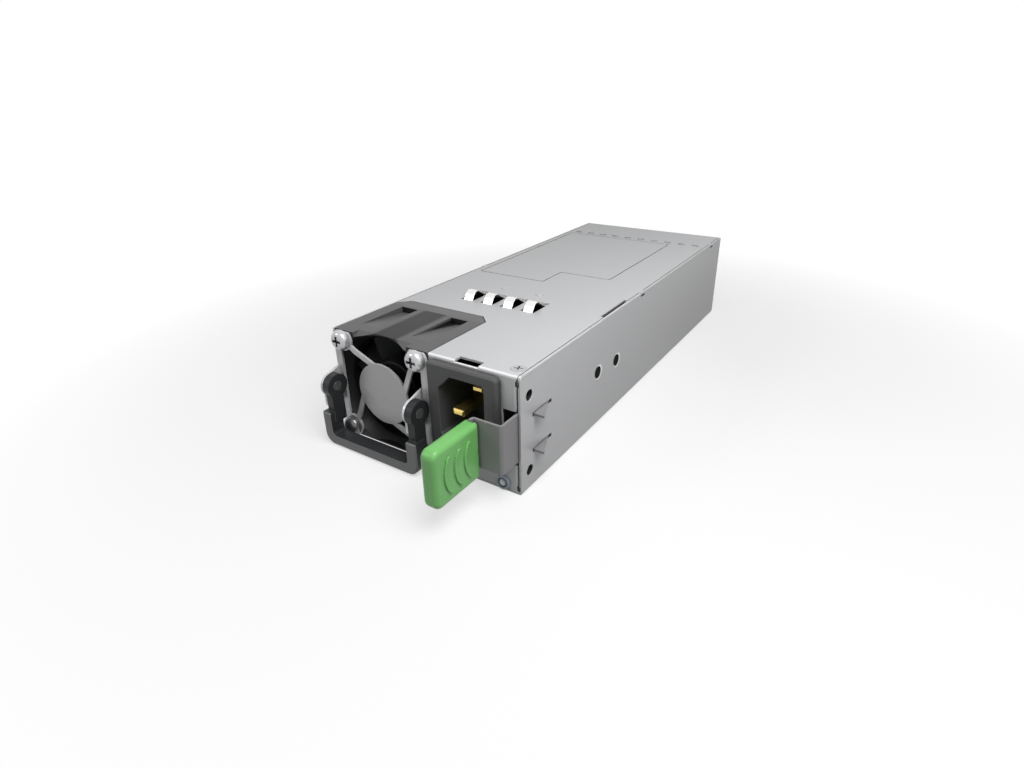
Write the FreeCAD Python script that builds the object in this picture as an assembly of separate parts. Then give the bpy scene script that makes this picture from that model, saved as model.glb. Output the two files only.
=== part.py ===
import FreeCAD
import Part
import math
import os

os.makedirs("parts", exist_ok=True)

# Hot swap power supply for a server bay. Lengths are millimetres.
# The model is drawn with y = 0 at the front face, and each piece is moved to the
# origin, the centre of the bottom face, when it is saved.

# Enclosure
WIDTH = 73.5
HEIGHT = 39.0
LENGTH = 185.0
SHEET = 0.8
BEND_R = 1.0
SEAM = 0.3
FOLD_GAP = 0.5
FOLD_LONG = 2.0
RELIEF_TALL = 1.8
CARD_ROOM = 0.9

# Fits
FIT = 0.05
PRESS = 0.02
MOVE_GAP = 0.15
CUT_GAP = 0.25
SPACER_GAP = 0.1

LEFT = -WIDTH / 2
RIGHT = WIDTH / 2
IN_LEFT = LEFT + SHEET
IN_RIGHT = RIGHT - SHEET
CEILING = HEIGHT - SHEET
PANEL_RIGHT = IN_RIGHT - FOLD_GAP

# Fan, a little larger than the case is high, with its frame trimmed flush
FAN_OVER = 1.0
FAN_DEPTH = 28.0
FAN_WALL = 1.7
FAN_FLARE_OVER = 0.6
FAN_FLARE_DEPTH = 4.0
FAN_FLARE_LIP = 0.5
FAN_RISE = 0.4
SCREW_INSET = 4.0
TIP_GAP = 0.4
HUB_R = 9.5
HUB_WALL = 1.2
HUB_FRONT = 4.6
HUB_REAR_ROOM = 7.0
BLADES = 7
BLADE_SWEEP = 9.2
SHAFT_R = 1.5
BEARING_R = 4.0
BEARING_LONG = 3.0
TUBE_WALL = 0.8
MOTOR_MOUNT_LONG = 3.0
DUCT_LONG = 5.35
CORNER_BEVEL = 4.0
FAN_SIZE = HEIGHT + FAN_OVER
FAN_BORE_R = FAN_SIZE / 2 - FAN_WALL
FAN_FLARE_R = FAN_SIZE / 2 + FAN_FLARE_OVER
FAN_PITCH = FAN_SIZE - 2 * SCREW_INSET
HUB_DEPTH = FAN_DEPTH - HUB_REAR_ROOM - HUB_FRONT
FAN_X = IN_LEFT + FAN_SIZE / 2
FAN_Z = HEIGHT / 2 + FAN_RISE
FAN_RIGHT = IN_LEFT + FAN_SIZE
BAY_RIGHT = FAN_RIGHT + CUT_GAP
BAY_REAR = FAN_DEPTH + DUCT_LONG + CUT_GAP
PANEL_FREE = WIDTH - 2 * SHEET - FAN_SIZE

# Fan guard and its screws
GUARD_ARM_W = 1.8
GUARD_STRIP_W = 2.7
GUARD_EAR_PAD_R = 3.9
GUARD_TRIM = 0.3
SCREW_HEAD_R = 3.4
SCREW_HEAD_H = 2.6
SCREW_DOME = 1.7
SCREW_SHAFT_R = 1.8
SCREW_LONG = 9.0
GUARD_DISC_R = 10.6
ELBOW_IN = 4.8
ELBOW_DOWN = 3.2

# Bail handle
PIVOT_Y = -5.1
BOSS_R = 4.1
PIN_R = 1.2
PIN_HEAD_R = 1.7
PIN_HEAD_H = 0.6
ARM_T = 2.8
NECK_HALF = 3.0
LEG_W = 3.9
HANDLE_IN = 0.35
HANDLE_OVER = 1.2
BAIL_FRONT = -9.8
BAIL_DEEP = 5.0
BAIL_BOTTOM = 0.3
BAIL_ROUND = 4.0
BAR_TALL = 3.7
EAR_DROP = 7.4
PIVOT_RISE = 1.2
LEG_DROP = 8.7
PIVOT_Z = HEIGHT / 2 + PIVOT_RISE
LEG_TOP = PIVOT_Z - LEG_DROP
HANDLE_LEFT = LEFT + HANDLE_IN
HANDLE_RIGHT = HANDLE_LEFT + FAN_SIZE + HANDLE_OVER
EAR_BOTTOM = PIVOT_Z - EAR_DROP
LEFT_EAR_X = IN_LEFT
RIGHT_EAR_X = HANDLE_RIGHT - LEG_W - SPACER_GAP - SHEET

# Mains inlet, filling the front panel but for these margins
INLET_LEFT_GAP = 0.55
INLET_RIGHT_ROOM = 5.75
INLET_ABOVE = 1.5
INLET_BELOW = 6.5
INLET_PROUD = 2.2
INLET_RIM = 4.4
INLET_RIM_END = 3.3
INLET_WALL = 1.4
INLET_BODY_LONG = 20.0
INLET_CATCH = 0.9
CAVITY_DEEP = 17.0
BLADE_T = 2.0
EARTH_LONG = 15.4
LIVE_LONG = 11.2
TAIL_LONG = 6.0
INLET_FLANGE_W = PANEL_FREE - INLET_LEFT_GAP - INLET_RIGHT_ROOM
INLET_FLANGE_H = HEIGHT - INLET_ABOVE - INLET_BELOW
INLET_X = FAN_RIGHT + INLET_LEFT_GAP + INLET_FLANGE_W / 2
INLET_Z = INLET_BELOW + INLET_FLANGE_H / 2
CAVITY_W = INLET_FLANGE_W - 2 * INLET_RIM
CAVITY_H = INLET_FLANGE_H - 2 * INLET_RIM_END
CAVITY_BEVEL = CAVITY_W * 0.27
BLADE_W = CAVITY_W * 0.24
BLADE_PITCH = CAVITY_H * 0.59
EARTH_OFFSET = CAVITY_W * 0.155
LIVE_OFFSET = CAVITY_W * 0.11

# Release latch
LATCH_T = 0.7
LATCH_BEND = 0.7
LATCH_HINGE_Y = 42.0
PLATE_Y = -7.8
TANG_END = -25.0
FIN_Y = 6.8
FIN_LONG = 8.2
FIN_PROUD = 3.6
FIN_T = 0.8
ROOT_LONG = 27.0
RIVET_GAPS = (7.0, 22.0)
RIVET_R = 1.75
RIVET_HOLE_R = 1.3
GRIP_T = 5.0
GRIP_LONG = 19.8
GRIP_ROUND = 1.5
RIDGES = 3
RIDGE_PITCH = 4.3
RIDGE_PROUD = 0.5
LATCH_Z0 = 12.0
LATCH_BELOW_TOP = 14.1
LATCH_Z1 = HEIGHT - LATCH_BELOW_TOP
PLATE_Z0 = LATCH_Z0 - 0.4
PLATE_Z1 = LATCH_Z1 + 2.5
RIVET_Z = LATCH_Z0 + (LATCH_Z1 - LATCH_Z0) * 0.62
GRIP_Z0 = LATCH_Z0 - 3.4
GRIP_Z1 = PLATE_Z1 - 0.6
TANG_IN = 10.05
TANG_X = IN_RIGHT - TANG_IN
LEAF_X1 = IN_RIGHT - MOVE_GAP
LEAF_X = LEAF_X1 - LATCH_T / 2
SLOT_X0 = INLET_X + INLET_FLANGE_W / 2 + CUT_GAP
SLOT_Z0 = LATCH_Z0 - 2.1
SLOT_Z1 = PLATE_Z1 + 0.5

# Grounding spring fingers in the cover
FINGERS = 4
FINGER_T = 0.25
FINGER_HIGH = 3.3
FINGER_PAST = 4.8
WINDOW_PAST = 2.9
WINDOW_LONG = 11.7
STRIP_LONG = 7.4
STRIP_RIVET_R = 0.9
FINGER_PITCH = 8.6
FINGER_X = -2.4
FINGER_W = FINGER_PITCH - FINGER_PAST
WINDOW_W = FINGER_PITCH - WINDOW_PAST
WINDOW_Y0 = BAY_REAR + 11.0
FINGER_HINGE_Y = WINDOW_Y0 + 15.0

# Main board
BOARD_T = 1.6
BOARD_Z = 4.4
BOARD_MARGIN = 2.2
BOARD_FRONT_ROOM = 2.4
BOARD_REAR_ROOM = 1.4
TONGUE_PROUD = 9.0
TONGUE_INSET = 10.25
CONTACT_PITCH = 2.0
CONTACT_W = 1.4
CONTACT_T = 0.1
CONTACT_LONG = 7.4
KEY_COLUMN = 3
STANDOFF_R = 2.5
BOARD_SCREW_R = 1.45
BOARD_HEAD_R = 2.7
HEAD_ROOM = 0.4
BOARD_TOP = BOARD_Z + BOARD_T
BOARD_Y0 = BAY_REAR + BOARD_FRONT_ROOM
BOARD_END = LENGTH - SHEET - BOARD_REAR_ROOM
TONGUE_W = WIDTH - 2 * TONGUE_INSET

# The board's parts are planned in a room 71.9 wide, 146.8 long and 32.2 high that starts
# at y = 36, and the plan is stretched to the room there is
SHARE_X = (IN_RIGHT - IN_LEFT) / 71.9
SHARE_Y = (BOARD_END - BOARD_Y0) / 146.8
SHARE_Z = (CEILING - BOARD_TOP) / 32.2
PLAN_SHARE = min(SHARE_X, SHARE_Y)
SHARE = min(PLAN_SHARE, SHARE_Z)
PLAN_START = 36
SINK_FINS = 6
WIRE = 1.1 * SHARE

# Honeycomb vent
HEX_FLAT = 4.2
HEX_PITCH = 5.2


def point(plane, a, b, level):
    if plane == "x":
        return FreeCAD.Vector(level, a, b)
    if plane == "y":
        return FreeCAD.Vector(a, level, b)
    return FreeCAD.Vector(a, b, level)


def normal(plane):
    return {"x": FreeCAD.Vector(1, 0, 0), "y": FreeCAD.Vector(0, 1, 0), "z": FreeCAD.Vector(0, 0, 1)}[plane]


def outline(plane, corners, level):
    """Closed wire through corners (a, b) or (a, b, radius)."""
    edges = []
    starts = []
    ends = []
    mids = []
    count = len(corners)
    for i, corner in enumerate(corners):
        here = FreeCAD.Vector(corner[0], corner[1], 0)
        before = corners[i - 1]
        after = corners[(i + 1) % count]
        radius = corner[2] if len(corner) > 2 else 0
        if radius <= 0:
            starts.append(here)
            ends.append(here)
            mids.append(None)
            continue
        back = (FreeCAD.Vector(before[0], before[1], 0) - here).normalize()
        on = (FreeCAD.Vector(after[0], after[1], 0) - here).normalize()
        half = back.getAngle(on) / 2
        reach = radius / math.tan(half)
        starts.append(here + back * reach)
        ends.append(here + on * reach)
        mids.append(here + (back + on).normalize() * (radius / math.sin(half) - radius))
    for i in range(count):
        if mids[i] is not None:
            arc = [point(plane, p.x, p.y, level) for p in (starts[i], mids[i], ends[i])]
            edges.append(Part.Arc(arc[0], arc[1], arc[2]).toShape())
        following = starts[(i + 1) % count]
        if (following - ends[i]).Length > 1e-6:
            a = point(plane, ends[i].x, ends[i].y, level)
            b = point(plane, following.x, following.y, level)
            edges.append(Part.makeLine(a, b))
    return Part.Wire(edges)


def plate(plane, corners, low, high):
    return Part.Face(outline(plane, corners, low)).extrude(normal(plane) * (high - low))


def block(x0, x1, y0, y1, z0, z1):
    return Part.makeBox(x1 - x0, y1 - y0, z1 - z0, FreeCAD.Vector(x0, y0, z0))


def rod(plane, a, b, radius, low, high):
    return Part.makeCylinder(radius, high - low, point(plane, a, b, low), normal(plane))


def ring(plane, a, b, outer, inner, low, high):
    return rod(plane, a, b, outer, low, high).cut(rod(plane, a, b, inner, low - 1, high + 1))


def cone(plane, a, b, r_low, r_high, low, high):
    return Part.makeCone(r_low, r_high, high - low, point(plane, a, b, low), normal(plane))


def rounded(a0, a1, b0, b1, radius):
    return [(a0, b0, radius), (a1, b0, radius), (a1, b1, radius), (a0, b1, radius)]


def strip(plane, path, thick, low, high):
    """Bent sheet: path holds (a, b, centre line radius) from end to end."""
    left = []
    right = []
    for i, (a, b, radius) in enumerate(path):
        here = FreeCAD.Vector(a, b, 0)
        prior = FreeCAD.Vector(path[max(i - 1, 0)][0], path[max(i - 1, 0)][1], 0)
        later_i = min(i + 1, len(path) - 1)
        later = FreeCAD.Vector(path[later_i][0], path[later_i][1], 0)
        run_in = (here - prior).normalize() if i > 0 else (later - here).normalize()
        run_out = (later - here).normalize() if i < len(path) - 1 else run_in
        side_in = FreeCAD.Vector(-run_in.y, run_in.x, 0)
        side_out = FreeCAD.Vector(-run_out.y, run_out.x, 0)
        mitre = (side_in + side_out).normalize()
        reach = thick / 2 / mitre.dot(side_in)
        turn = run_in.x * run_out.y - run_in.y * run_out.x
        inner = max(radius - thick / 2, 0)
        outer = radius + thick / 2 if radius > 0 else 0
        left_r = inner if turn > 0 else outer
        right_r = outer if turn > 0 else inner
        p = here + mitre * reach
        q = here - mitre * reach
        left.append((p.x, p.y, left_r))
        right.append((q.x, q.y, right_r))
    return plate(plane, left + right[::-1], low, high)


def join(shapes):
    whole = shapes[0].multiFuse(shapes[1:]) if len(shapes) > 1 else shapes[0]
    return whole.removeSplitter()


def save(name, shape):
    solids = shape.Solids
    assert solids, name
    placed = Part.makeCompound(solids) if len(solids) > 1 else solids[0]
    moved = placed.copy()
    moved.translate(FreeCAD.Vector(0, -LENGTH / 2, 0))
    moved.exportStep("parts/" + name + ".step")


def turned(shape, angle):
    copy = shape.copy()
    copy.rotate(FreeCAD.Vector(FAN_X, 0, FAN_Z), FreeCAD.Vector(0, 1, 0), angle)
    return copy


# Sheet metal case

HOOK_W = 3.0
HOOK_YS = (84.0, LENGTH - 16.5)
NOTCH_X0 = INLET_X - 3.4
NOTCH_X1 = INLET_X + 5.3
NOTCH_Y = 3.1
WALL_HOLE_R = 1.75
WALL_HOLES = ((4.5, HEIGHT - 7.3), (4.6, 6.6))
COLLAR_WALL = 0.5
COLLAR_DEEP = 0.7
LAMP_X = IN_RIGHT - 5.65
LAMP_Z = 2.75
LAMP_R = 1.3
BEZEL_R = 2.4
SLEEVE_WALL = 0.4
LED_R = 1.2
COVER_SCREW_X = IN_RIGHT - 2.95
COVER_SCREW_Y = 5.0
COVER_SCREW_R = 1.25
COVER_HEAD_R = 2.3
TAB_X0 = IN_RIGHT - 5.05
TAB_LONG = 9.0
BEAD_ROW_Y = LENGTH - 21.7
BEAD_PITCH = 6.9
BEAD_MARGIN = 4.0
BEAD_LONG = 3.4
BEAD_W = 1.1
BEAD_PROUD = 0.4
GROOVE_W = 0.45
GROOVE_DEEP = 0.3
GROOVE_X0 = IN_LEFT + 2.65
GROOVE_STEP_X = FINGER_X
GROOVE_X1 = IN_RIGHT - 16.45
GROOVE_Y0 = FINGER_HINGE_Y + 18.2
GROOVE_STEP_Y = GROOVE_Y0 + 15.0
GROOVE_Y1 = LENGTH - 25.5
FLANGE_Y0 = 76.0
FLANGE_Y1 = LENGTH - 5.0
FLANGE_TALL = 4.4
EDGE_NOTCH_W = 1.1
EDGE_NOTCH_Y0 = 53.5
EDGE_NOTCH_Y1 = 73.4


def bay_outline(grow):
    """Plan of the fan bay's cut-out, wider by grow than the pieces in it."""
    right = FAN_RIGHT + grow
    rear = FAN_DEPTH + DUCT_LONG + grow
    far_left = LEFT - 1
    bevel = CORNER_BEVEL
    return [(far_left, -1), (right, -1), (right, rear - bevel), (right - bevel, rear),
            (IN_LEFT + bevel, rear), (IN_LEFT, rear - bevel), (far_left, rear - bevel)]


def honeycomb():
    """Hexagonal holes of the rear panel, in offset rows above the card slot."""
    holes = []
    row_step = HEX_PITCH * math.sqrt(3) / 2
    low = BOARD_TOP + 4.4
    rows = int((CEILING - 3.0 - low) / row_step) + 1
    per_row = int((WIDTH - 8.0) / HEX_PITCH)
    corner_r = HEX_FLAT / math.sqrt(3)
    for row in range(rows):
        count = per_row - row % 2
        for i in range(count):
            x = (i - (count - 1) / 2) * HEX_PITCH
            z = low + row * row_step
            angles = [math.radians(30 + 60 * k) for k in range(6)]
            corners = [(x + corner_r * math.cos(a), z + corner_r * math.sin(a)) for a in angles]
            holes.append(plate("y", corners, LENGTH - SHEET - 1, LENGTH + 1))
    return holes


def chassis_tray():
    outer = block(LEFT, RIGHT, 0, LENGTH, 0, HEIGHT)
    long_edges = [e for e in outer.Edges if e.BoundBox.YLength > 1 and e.BoundBox.ZMax < 1]
    outer = outer.makeFillet(BEND_R, long_edges)
    rims = [e for e in outer.Edges if e.BoundBox.YLength > 1 and e.BoundBox.ZMin > HEIGHT - 0.01]
    outer = outer.makeFillet(SHEET * 0.4, rims)
    inner = block(IN_LEFT, IN_RIGHT, -1, LENGTH + 1, SHEET, HEIGHT + 1)
    floor_edges = [e for e in inner.Edges if e.BoundBox.YLength > 1 and e.BoundBox.ZMax < 1]
    inner = inner.makeFillet(BEND_R - SHEET + 0.1, floor_edges)
    channel = outer.cut(inner)
    bay = plate("z", bay_outline(CUT_GAP), -1, SHEET + 0.6)
    bay_keep = block(LEFT - 1, IN_LEFT, -2, BAY_REAR + 1, 0, SHEET + 2)
    channel = channel.cut(bay.cut(bay_keep))
    mid = SHEET / 2
    fold = [(BAY_RIGHT, mid, 0), (PANEL_RIGHT - mid, mid, BEND_R - mid), (PANEL_RIGHT - mid, FOLD_LONG, 0)]
    front = strip("z", fold, SHEET, 0, CEILING)
    tab = block(TAB_X0, PANEL_RIGHT, 0, TAB_LONG, CEILING - SHEET, CEILING)
    rear = block(IN_LEFT + FOLD_GAP, PANEL_RIGHT, LENGTH - SHEET, LENGTH, 0, CEILING)
    collar_r = WALL_HOLE_R + COLLAR_WALL
    collars = [rod("x", y, z, collar_r, IN_RIGHT - COLLAR_DEEP, IN_RIGHT + 0.1) for y, z in WALL_HOLES]
    body = join([channel, front, tab, rear] + collars)
    half_w = CAVITY_W / 2 + INLET_WALL + CUT_GAP
    half_h = CAVITY_H / 2 + INLET_WALL + CUT_GAP
    inlet_hole = block(INLET_X - half_w, INLET_X + half_w, -1, SHEET + 1, INLET_Z - half_h, INLET_Z + half_h)
    latch_slot = block(SLOT_X0, IN_RIGHT, -1, FOLD_LONG + 1, SLOT_Z0, SLOT_Z1)
    lamp_hole = rod("y", LAMP_X, LAMP_Z, LAMP_R + SLEEVE_WALL + FIT, -1, SHEET + 1)
    screw_hole = rod("z", COVER_SCREW_X, COVER_SCREW_Y, COVER_SCREW_R + FIT, CEILING - 3, CEILING + 1)
    card_half = TONGUE_W / 2 + CARD_ROOM
    card = block(-card_half, card_half, LENGTH - 2, LENGTH + 1, BOARD_Z - CARD_ROOM, BOARD_TOP + CARD_ROOM)
    holes = [inlet_hole, latch_slot, lamp_hole, screw_hole, card]
    for z in (CEILING - SHEET - RELIEF_TALL, SHEET + 0.1):
        holes.append(block(PANEL_RIGHT - 0.5, IN_RIGHT + 0.3, -1, SHEET + 0.05, z, z + RELIEF_TALL))
    for y, z in WALL_HOLES:
        holes.append(rod("x", y, z, WALL_HOLE_R, IN_RIGHT - 2, RIGHT + 1))
    for y in rivet_ys():
        holes.append(rod("x", y, RIVET_Z, RIVET_R + PRESS, IN_RIGHT - 1, RIGHT + 1))
    fin_slot_y1 = FIN_Y + FIN_LONG * (1 + SHEET / FIN_PROUD) + 0.4
    for z in fin_levels():
        low = z - CUT_GAP
        high = z + FIN_T + CUT_GAP
        holes.append(block(IN_RIGHT - 0.05, RIGHT + 1, FIN_Y - 0.6, fin_slot_y1, low, high))
    for y in HOOK_YS:
        for x0, x1 in ((LEFT - 1, IN_LEFT), (IN_RIGHT, RIGHT + 1)):
            holes.append(block(x0, x1, y - CUT_GAP, y + HOOK_W + CUT_GAP, CEILING - SHEET, HEIGHT + 1))
    body = body.cut(Part.makeCompound(holes))
    return body.cut(Part.makeCompound(honeycomb())).removeSplitter()


def fin_levels():
    return (LATCH_Z0, LATCH_Z1 - FIN_T)


def finger_xs():
    return [FINGER_X + (i - (FINGERS - 1) / 2) * FINGER_PITCH for i in range(FINGERS)]


def strip_rivets_xy():
    y = FINGER_HINGE_Y + STRIP_LONG / 2
    return [(FINGER_X - FINGER_PITCH, y), (FINGER_X + FINGER_PITCH * 0.85, y - 0.4)]


def top_cover():
    side = IN_RIGHT - SEAM
    rear = BAY_REAR
    bevel = CORNER_BEVEL
    plan = [(BAY_RIGHT, 0), (side, 0), (side, LENGTH), (-side, LENGTH), (-side, rear - bevel + SEAM),
            (IN_LEFT + bevel, rear), (BAY_RIGHT - bevel, rear), (BAY_RIGHT, rear - bevel)]
    pieces = [plate("z", plan, CEILING, HEIGHT)]
    for y in HOOK_YS:
        pieces.append(block(LEFT, RIGHT, y, y + HOOK_W, CEILING, HEIGHT))
    for sign in (-1, 1):
        x0 = min(sign * side, sign * (side - SHEET))
        low = CEILING - FLANGE_TALL
        top = HEIGHT - SHEET / 2
        corners = [(FLANGE_Y0, low, 1.5), (FLANGE_Y1, low, 1.5), (FLANGE_Y1, top), (FLANGE_Y0, top)]
        pieces.append(plate("x", corners, x0, x0 + SHEET))
    cover_front = [e for e in pieces[0].Edges if e.BoundBox.YMax < 0.01 and e.BoundBox.ZMin > HEIGHT - 0.01]
    pieces[0] = pieces[0].makeFillet(SHEET * 0.7, cover_front)
    beads = int((WIDTH - 2 * BEAD_MARGIN) / BEAD_PITCH) + 1
    row_x0 = -(beads - 1) / 2 * BEAD_PITCH
    for i in range(beads):
        x = row_x0 + i * BEAD_PITCH
        y = BEAD_ROW_Y - BEAD_W / 2
        corners = rounded(x - BEAD_LONG / 2, x + BEAD_LONG / 2, y, y + BEAD_W, 0.45)
        pieces.append(plate("z", corners, CEILING + 0.2, HEIGHT + BEAD_PROUD))
    whole = join(pieces)
    holes = [block(NOTCH_X0, NOTCH_X1, -1, NOTCH_Y, CEILING - 1, HEIGHT + 1)]
    holes.append(block(side - EDGE_NOTCH_W, side + 1, EDGE_NOTCH_Y0, EDGE_NOTCH_Y1, CEILING - 1, HEIGHT + 1))
    for x in finger_xs():
        window = rounded(x - WINDOW_W / 2, x + WINDOW_W / 2, WINDOW_Y0, WINDOW_Y0 + WINDOW_LONG, 0.6)
        holes.append(plate("z", window, CEILING - 1, HEIGHT + 1))
    for x, y in strip_rivets_xy():
        holes.append(rod("z", x, y, STRIP_RIVET_R + PRESS, CEILING - 1, HEIGHT + 1))
    holes.append(rod("z", COVER_SCREW_X, COVER_SCREW_Y, COVER_SCREW_R + 0.1, CEILING - 1, HEIGHT + 1))
    wide_r = COVER_HEAD_R + 0.1
    holes.append(cone("z", COVER_SCREW_X, COVER_SCREW_Y, wide_r - SHEET, wide_r, CEILING, HEIGHT))
    around = plate("z", groove_corners(0), HEIGHT - GROOVE_DEEP, HEIGHT + 1)
    holes.append(around.cut(plate("z", groove_corners(GROOVE_W), HEIGHT - 1, HEIGHT + 2)))
    return whole.cut(Part.makeCompound(holes)).removeSplitter()


def groove_corners(inset):
    """Outline of the stamped field on the cover, smaller by inset on every side."""
    x0 = GROOVE_X0 + inset
    step_x = GROOVE_STEP_X - inset
    x1 = GROOVE_X1 - inset
    y0 = GROOVE_Y0 + inset
    step_y = GROOVE_STEP_Y + inset
    y1 = GROOVE_Y1 - inset
    return [(x0, y0, 1), (step_x, y0, 1), (step_x, step_y, 1), (x1, step_y, 1), (x1, y1, 1), (x0, y1, 1)]


def cover_screw():
    head = cone("z", COVER_SCREW_X, COVER_SCREW_Y, COVER_HEAD_R - SHEET, COVER_HEAD_R, CEILING, HEIGHT)
    shaft = rod("z", COVER_SCREW_X, COVER_SCREW_Y, COVER_SCREW_R, CEILING - 4.2, CEILING)
    cross = []
    for angle in (0, 90):
        slot = block(-1.3, 1.3, -0.25, 0.25, HEIGHT - 0.5, HEIGHT + 1)
        slot.rotate(FreeCAD.Vector(0, 0, 0), FreeCAD.Vector(0, 0, 1), angle + 20)
        slot.translate(FreeCAD.Vector(COVER_SCREW_X, COVER_SCREW_Y, 0))
        cross.append(slot)
    return join([head, shaft]).cut(Part.makeCompound(cross))


# Fan

def fan_frame():
    body = block(IN_LEFT, FAN_RIGHT, 0, FAN_DEPTH, 0, HEIGHT)
    corners = [e for e in body.Edges if e.BoundBox.YLength > 1 and e.BoundBox.XMin > FAN_X]
    body = body.makeFillet(0.6, corners)
    cuts = [rod("y", FAN_X, FAN_Z, FAN_BORE_R, -1, FAN_DEPTH + 1)]
    flare = cone("y", FAN_X, FAN_Z, FAN_FLARE_R, FAN_BORE_R, 0, FAN_FLARE_DEPTH)
    left = IN_LEFT + FAN_FLARE_LIP
    right = FAN_RIGHT - FAN_FLARE_LIP
    cuts.append(flare.common(block(left, right, -1, FAN_FLARE_DEPTH, FAN_FLARE_LIP, HEIGHT + 1)))
    bevel_half = FAN_SIZE / 2 - 8.5
    cuts.append(plate("x", [(-1, HEIGHT + 1), (3.0, HEIGHT + 1), (3.0, HEIGHT), (-1, HEIGHT - 1.7)],
                      FAN_X - bevel_half, FAN_X + bevel_half))
    pocket_end = FAN_DEPTH - 1
    for x in (IN_LEFT + 5.3, FAN_RIGHT - 12.6):
        wedge = [(FAN_DEPTH / 4, HEIGHT), (pocket_end, HEIGHT - 2.1), (pocket_end, HEIGHT + 1)]
        wedge.append((FAN_DEPTH / 4, HEIGHT + 1))
        cuts.append(plate("x", wedge, x, x + 7.3))
    for angle in range(0, 360, 90):
        hole = rod("y", FAN_X - FAN_PITCH / 2, FAN_Z + FAN_PITCH / 2, SCREW_SHAFT_R + FIT, -1, SCREW_LONG + 1)
        cuts.append(turned(hole, angle))
    body = body.cut(Part.makeCompound(cuts))
    mount_y = FAN_DEPTH - MOTOR_MOUNT_LONG
    tube_r = BEARING_R + TUBE_WALL
    parts = [body, rod("y", FAN_X, FAN_Z, HUB_R + 0.3, mount_y, FAN_DEPTH)]
    parts.append(rod("y", FAN_X, FAN_Z, tube_r, HUB_FRONT + 3, FAN_DEPTH))
    for angle in (25, 115, 205, 295):
        z0 = FAN_Z + HUB_R - 1
        spoke = block(FAN_X - 1.3, FAN_X + 1.3, mount_y, FAN_DEPTH, z0, FAN_Z + FAN_BORE_R + 0.3)
        parts.append(turned(spoke, angle))
    whole = join(parts)
    return whole.cut(rod("y", FAN_X, FAN_Z, BEARING_R + PRESS, 0, FAN_DEPTH - 1.2))


def blade():
    """One blade: a cambered section lofted from hub to tip, coarser pitch at the tip."""
    sections = []
    middle = (HUB_R + FAN_BORE_R) / 2
    root = (HUB_R - 0.7, BLADE_SWEEP * 0.56, 1.1)
    end = (FAN_BORE_R + 0.6, BLADE_SWEEP, 0.7)
    for radius, sweep, thick in (root, (middle, BLADE_SWEEP * 0.8, 0.85), end):
        y0 = HUB_FRONT + 0.8
        y1 = HUB_FRONT + HUB_DEPTH - 1.2
        mid_y = (y0 + y1) / 2
        bow = sweep * 0.22
        level = FAN_Z + radius
        a = FreeCAD.Vector(FAN_X - sweep, y0, level)
        b = FreeCAD.Vector(FAN_X + bow + thick / 2, mid_y, level)
        c = FreeCAD.Vector(FAN_X + sweep, y1, level)
        d = FreeCAD.Vector(FAN_X + bow - thick / 2, mid_y, level)
        sections.append(Part.Wire([Part.Arc(a, b, c).toShape(), Part.Arc(c, d, a).toShape()]))
    raw = Part.makeLoft(sections, True, False)
    tip = FAN_BORE_R - TIP_GAP
    return raw.common(rod("y", FAN_X, FAN_Z, tip, 0, FAN_DEPTH))


def fan_rotor():
    hub = rod("y", FAN_X, FAN_Z, HUB_R, HUB_FRONT, HUB_FRONT + HUB_DEPTH)
    front_edge = [e for e in hub.Edges if e.BoundBox.YLength < 0.01 and e.BoundBox.YMin < HUB_FRONT + 0.1]
    hub = hub.makeFillet(0.9, front_edge)
    parts = [hub]
    one = blade()
    for i in range(BLADES):
        parts.append(turned(one, i * 360 / BLADES))
    whole = join(parts)
    whole = whole.cut(rod("y", FAN_X, FAN_Z, HUB_R - HUB_WALL, HUB_FRONT + 1.2, FAN_DEPTH))
    boss = rod("y", FAN_X, FAN_Z, SHAFT_R + 0.9, HUB_FRONT + 1.0, HUB_FRONT + 2.6)
    return join([whole, boss]).cut(rod("y", FAN_X, FAN_Z, SHAFT_R, HUB_FRONT + 0.8, FAN_DEPTH))


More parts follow.
